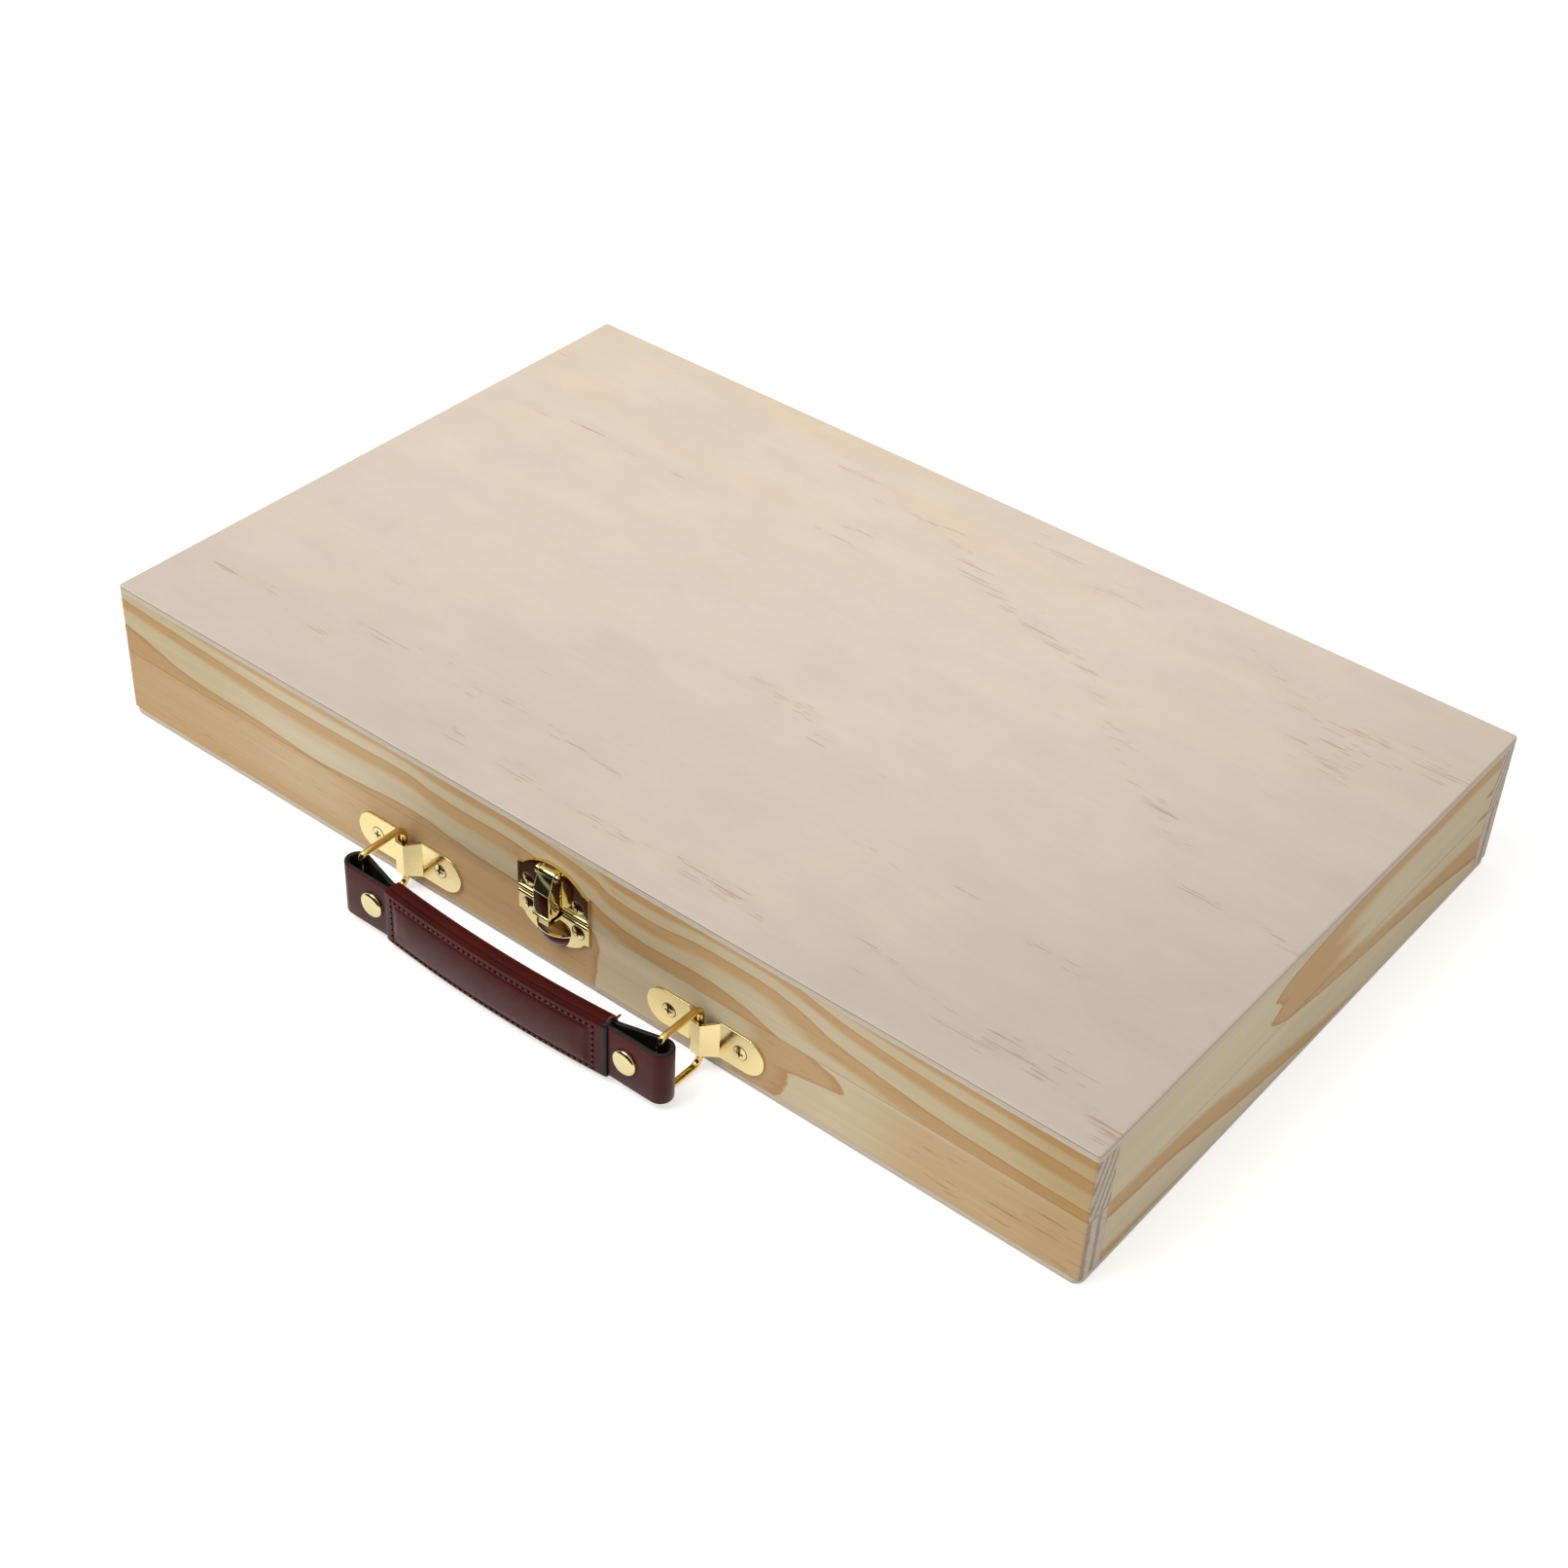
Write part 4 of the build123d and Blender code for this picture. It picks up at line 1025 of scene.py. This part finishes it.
def make_sleeve():
    """The leather wrapped round the strap: a crowned panel in front and two seam grooves on top."""
    sleeve = begin("leather_sleeve", bpy.ops.mesh.primitive_plane_add, size=1.0, rotation=TO_SIDE)
    bpy.ops.transform.resize(value=(1.0, SLEEVE_DEPTH * MM, SLEEVE_HEIGHT * MM))
    pick("VERT")
    bpy.ops.mesh.bevel(offset=SLEEVE_ROUND * MM, segments=3, affect="VERTICES")
    for groove in SEAM_GROOVES:
        for side in SEAM_CUTS:
            cut("Y", groove + side)
    for height in PANEL_CUTS:
        cut("Z", height)
    pick("FACE")
    bpy.ops.mesh.dissolve_faces()
    for groove, depth in zip(SEAM_GROOVES, SEAM_DEPTHS):
        pick("VERT", lambda at, normal: abs(at.y - groove) < 0.3 and at.z > 9.0)
        shift(0, 0, -depth)
    pick("FACE")
    bpy.ops.mesh.delete(type="ONLY_FACE")
    pick("EDGE")
    shift(-SLEEVE_LENGTH / 2)
    for _ in range(SLEEVE_SLICES):
        extend(SLEEVE_LENGTH / SLEEVE_SLICES)
    face_outwards()
    for side in (-1, 1):
        raise_panel(side)
    coat(sleeve, MAROON_LEATHER, EDGE_PAINT, SEAM_LEATHER)
    settle(sleeve, wall(SLEEVE_WALL, 1), rounder(2))
    edit()
    pick("FACE", lambda at, normal: at.z > SLEEVE_HEIGHT / 2 - 1.2 and normal.z > 0.25)
    sleeve.active_material_index = 2
    bpy.ops.object.material_slot_assign()
    end = SLEEVE_LENGTH / 2
    pick("FACE", lambda at, normal: at.x > end - END_BAND or at.x < -end + 0.3)
    sleeve.active_material_index = 1
    bpy.ops.object.material_slot_assign()
    stop_editing()
    place_on_handle(sleeve)
    smooth(sleeve, 60.0)
    return sleeve


def raise_panel(side):
    """Raises and crowns the stitched panel on one face of the sleeve."""
    def on_panel(at, margin=0.0):
        return (
            PANEL_LEFT + margin < at.x < PANEL_RIGHT - margin
            and PANEL_LOW + margin < at.z < PANEL_HIGH - margin
            and at.y * side > SLEEVE_DEPTH / 2 - 0.1
        )

    pick("FACE", lambda at, normal: on_panel(at))
    bpy.ops.mesh.inset(thickness=PANEL_INSET * MM)
    shift(0, side * PANEL_RISE)
    bpy.ops.mesh.inset(thickness=CROWN_INSET * MM)
    shift(0, side * PANEL_CROWN)
    for margin in CROWN_MARGINS:
        pick("FACE", lambda at, normal: on_panel(at, margin))
        shift(0, side * PANEL_CROWN)


def make_row(name, size, turn, start, step, count, material):
    """A row of small stitches or needle holes, shaped once and repeated."""
    row = begin(name, bpy.ops.mesh.primitive_uv_sphere_add, segments=8, ring_count=6, radius=0.5)
    bpy.ops.transform.resize(value=in_metres(size))
    pick("VERT", lambda at, normal: abs(at.x) > size[0] * 0.4)
    shift(0, STITCH_SINK if start[1] < 0 else -STITCH_SINK)
    pick_all()
    bpy.ops.transform.rotate(value=math.radians(turn), orient_axis="Y", center_override=(0, 0, 0))
    shift(*start)
    coat(row, material)
    settle(row, ("ARRAY", {
        "count": count, "use_relative_offset": False, "use_constant_offset": True,
        "constant_offset_displace": in_metres(step),
    }))
    return row


def make_stitching():
    """The stitched border on both faces of the sleeve: thread, and dark ovals painted as the shade
    inside the needle holes.
    """
    rows = []
    width = STITCH_RIGHT - STITCH_LEFT
    height = STITCH_TOP - STITCH_FOOT
    across = int(width / STITCH_PITCH)
    upward = int(height / STITCH_PITCH)
    half = 0.5 * STITCH_PITCH

    def sew(turn, start, first, step, count):
        """A row of stitches, each between two needle holes."""
        rows.append(make_row("stitch", STITCH_SIZE, turn, first, step, count, THREAD))
        hole_turn = 90 if step[2] else 0
        rows.append(make_row("hole", HOLE_SIZE, hole_turn, start, step, count + 1, NEEDLE_HOLE_SHADE))

    for face in (-1, 1):
        y = face * (SLEEVE_DEPTH / 2 - 0.02)
        for z in (STITCH_TOP, STITCH_FOOT):
            start, first = (STITCH_LEFT, y, z), (STITCH_LEFT + half, y, z)
            sew(STITCH_LEAN, start, first, (width / across, 0, 0), across)
        for x in (STITCH_LEFT, STITCH_RIGHT):
            start, first = (x, y, STITCH_FOOT), (x, y, STITCH_FOOT + half)
            sew(90 - STITCH_LEAN, start, first, (0, 0, height / upward), upward)
    stitching = join(rows)
    stitching.name = "sleeve_stitching"
    place_on_handle(stitching)
    smooth(stitching, 180.0)
    return stitching


def make_thread_end():
    """The loose, curled end of thread at the sleeve's top right corner."""
    corner = (SLEEVE_LENGTH / 2, SLEEVE_MIDDLE_Y, HANDLE_Z + SLEEVE_HEIGHT / 2)
    start = tuple(part + away for part, away in zip(corner, THREAD_ROOT))
    thread = begin(
        "thread_end", bpy.ops.mesh.primitive_circle_add, vertices=8, radius=THREAD_RADIUS * MM,
        fill_type="NGON", rotation=TO_FRONT, location=in_metres(start),
    )
    for along, back, up, size in THREAD_CURL:
        draw_out(along, back, up)
        bpy.ops.transform.resize(value=(size, size, size))
    face_outwards()
    coat(thread, THREAD)
    settle(thread, rounder(1))
    smooth(thread, 180.0)
    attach(thread, "handle")


def make_rivet(name, node):
    """A capped rivet, drawn out ring by ring from rear to front."""
    low, high = (Vector(corner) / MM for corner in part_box(node))
    middle_x, middle_z = (low.x + high.x) / 2, (low.z + high.z) / 2
    radius, here = RIVET_RINGS[0][0], high.y
    rivet = begin(
        name, bpy.ops.mesh.primitive_circle_add, vertices=40, radius=radius * MM,
        fill_type="NGON", rotation=TO_FRONT, location=in_metres((middle_x, here, middle_z)),
    )
    for next_radius, from_rear, from_front in RIVET_RINGS[1:]:
        place = high.y - from_rear if from_front is None else low.y + from_front
        draw_out(0, place - here, 0)
        ratio = next_radius / radius
        centre = in_metres((middle_x, place, middle_z))
        bpy.ops.transform.resize(value=(ratio, 1.0, ratio), center_override=centre)
        here, radius = place, next_radius
    face_outwards()
    stop_editing()
    coat(rivet, RIVET_BRASS)
    smooth(rivet, 50.0)
    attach(rivet, "handle")
    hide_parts(node)


def make_handle():
    strap = make_strap()
    sleeve = make_sleeve()
    stitching = make_stitching()
    for piece in (strap, sleeve, stitching):
        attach(piece, "handle")
    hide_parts("handle_strap")
    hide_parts("handle_sleeve")
    make_thread_end()
    make_rivet("rivet_left", "handle_rivet_left")
    make_rivet("rivet_right", "handle_rivet_right")


# Hasp

def make_rod(name, radius, length, middle, softening):
    """A short rod along the box, with rounded ends."""
    rod = begin(
        name, bpy.ops.mesh.primitive_cylinder_add, vertices=32, radius=radius * MM,
        depth=length * MM, rotation=TO_SIDE, location=in_metres(middle),
    )
    pick("FACE", lambda at, normal: abs(normal.x) > 0.9)
    bpy.ops.mesh.bevel(offset=softening * MM, segments=3, affect="EDGES")
    stop_editing()
    coat(rod, LATCH_BRASS)
    return rod


def make_hasp():
    """The hasp, folded from sheet: front, leaning shoulder and sides, rolled pin, foot bead."""
    low, high = (Vector(corner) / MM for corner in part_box("latch_hasp"))
    width, middle_x = high.x - low.x, (high.x + low.x) / 2
    front, back = low.y + HASP_LIP, high.y
    pin_y, pin_z = back - BARREL_RADIUS, high.z - BARREL_RADIUS
    hasp = begin("folded_hasp", bpy.ops.mesh.primitive_cube_add, size=1.0)
    bpy.ops.transform.resize(value=in_metres((width, back - front, pin_z - low.z)))
    shift(middle_x, (front + back) / 2, (low.z + pin_z) / 2)
    cut("Z", low.z + HASP_KNEE)
    cut("Z", low.z + BARREL_RADIUS)
    pick("VERT", lambda at, normal: at.y < front + 0.1 and at.z > pin_z - 0.1)
    shift(0, SHOULDER_LEAN, SHOULDER_RISE)
    pick("VERT", lambda at, normal: at.y > back - 0.1 and at.z < low.z + 0.1)
    shift(0, -BARREL_RADIUS, 0)
    pick("FACE", lambda at, normal: normal.y > 0.3 or abs(normal.z) > 0.8)
    bpy.ops.mesh.delete(type="FACE")
    coat(hasp, LATCH_BRASS)
    settle(hasp, wall(HASP_SHEET), rounding(HASP_ROUND, 14))
    barrel = make_rod("barrel", BARREL_RADIUS, width, (middle_x, pin_y, pin_z), 0.25)
    bead = make_rod("bead", BEAD_RADIUS, width, (middle_x, front + 0.05, low.z + BEAD_RADIUS), 0.2)
    join([hasp, barrel, bead])
    smooth(hasp, 30.0)
    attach(hasp, "hasp")
    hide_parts("latch_hasp")


# Studio

def floor_material():
    """A white table that keeps the box's shadow; the camera and the brass see it as white."""
    material, tree, position = new_material("white_table")
    paper = noise(tree, position, 40.0, 3.0)
    tint = blend(tree, paper, (232, 232, 231), (235, 235, 234))
    return set_shader(material, tint, 0.9, 0.0, others={
        "Emission Color": (255, 255, 255),
        "Emission Strength": times(tree, seen_directly(tree), TABLE_GLOW),
    })


def make_floor():
    floor = begin("white_table", bpy.ops.mesh.primitive_plane_add, size=FLOOR_SIZE)
    stop_editing()
    coat(floor, floor_material())


def light_world():
    """A white surround for the camera and the brass, and a softer fill on the box."""
    world = bpy.data.worlds.new("studio_surround")
    bpy.context.scene.world = world
    world.use_nodes = True
    tree = world.node_tree
    background = next(node for node in tree.nodes if node.type == "BACKGROUND")
    strength = ramp(tree, seen_directly(tree), 0.0, 1.0, FILL_STRENGTH, 1.0, smooth=False)
    give(tree, background.inputs["Strength"], strength)
    give(tree, background.inputs["Color"], (1.0, 1.0, 1.0, 1.0))


def add_lamp():
    """One large soft lamp, high up at the front left."""
    lamp = bpy.data.lights.new("key", "AREA")
    lamp.size = LAMP_SIZE
    lamp.energy = LAMP_WATTS
    lamp.color = LAMP_TINT
    holder = bpy.data.objects.new("key", lamp)
    holder.location = LAMP_PLACE
    aim = Vector(LAMP_TARGET) - Vector(LAMP_PLACE)
    holder.rotation_euler = aim.to_track_quat("-Z", "Y").to_euler()
    bpy.context.scene.collection.objects.link(holder)


def add_dark_card():
    """A dark card before the table, which only the shine of the brass and leather sees."""
    card = begin("dark_card", bpy.ops.mesh.primitive_plane_add, size=1.0)
    bpy.ops.transform.resize(value=(CARD_LENGTH * MM, CARD_DEPTH * MM, 1.0))
    shift(CARD_RIGHT, -CARD_START - CARD_DEPTH / 2, CARD_LIFT)
    pick("EDGE", lambda at, normal: at.y < -CARD_START - CARD_DEPTH + 100)
    extend(0, 0, CARD_HEIGHT)
    stop_editing()
    material, tree, position = new_material("dark_card")
    x, y, z = parts_of(tree, position)
    fading = times(tree, ramp(tree, y, -0.38, -0.56), ramp(tree, z, 0.0, 0.03, 1.0, 0.0))
    tint = blend(tree, fading, (0.02, 0.02, 0.02, 1.0), (0.30, 0.31, 0.25, 1.0))
    coat(card, set_shader(material, tint, 1.0, 0.0))
    card.visible_camera = False
    card.visible_diffuse = False
    card.visible_shadow = False


def add_camera():
    """The photograph's view: from the front right, looking down, tipped slightly."""
    lens = bpy.data.cameras.new("photo_view")
    lens.lens = LENS_MM
    lens.clip_end = 50.0
    camera = bpy.data.objects.new("photo_view", lens)
    bpy.context.scene.collection.objects.link(camera)
    turn = Matrix.Rotation(math.radians(CAMERA_TURN), 4, "Z")
    tip = Matrix.Rotation(math.radians(90 - CAMERA_DOWN), 4, "X")
    roll = Matrix.Rotation(math.radians(CAMERA_ROLL), 4, "Z")
    camera.matrix_world = Matrix.Translation(CAMERA_PLACE) @ turn @ tip @ roll
    bpy.context.scene.camera = camera


finish_nodes()
make_handle()
make_hasp()
make_floor()
light_world()
add_lamp()
add_dark_card()
add_camera()
bpy.context.scene.view_settings.view_transform = "Standard"
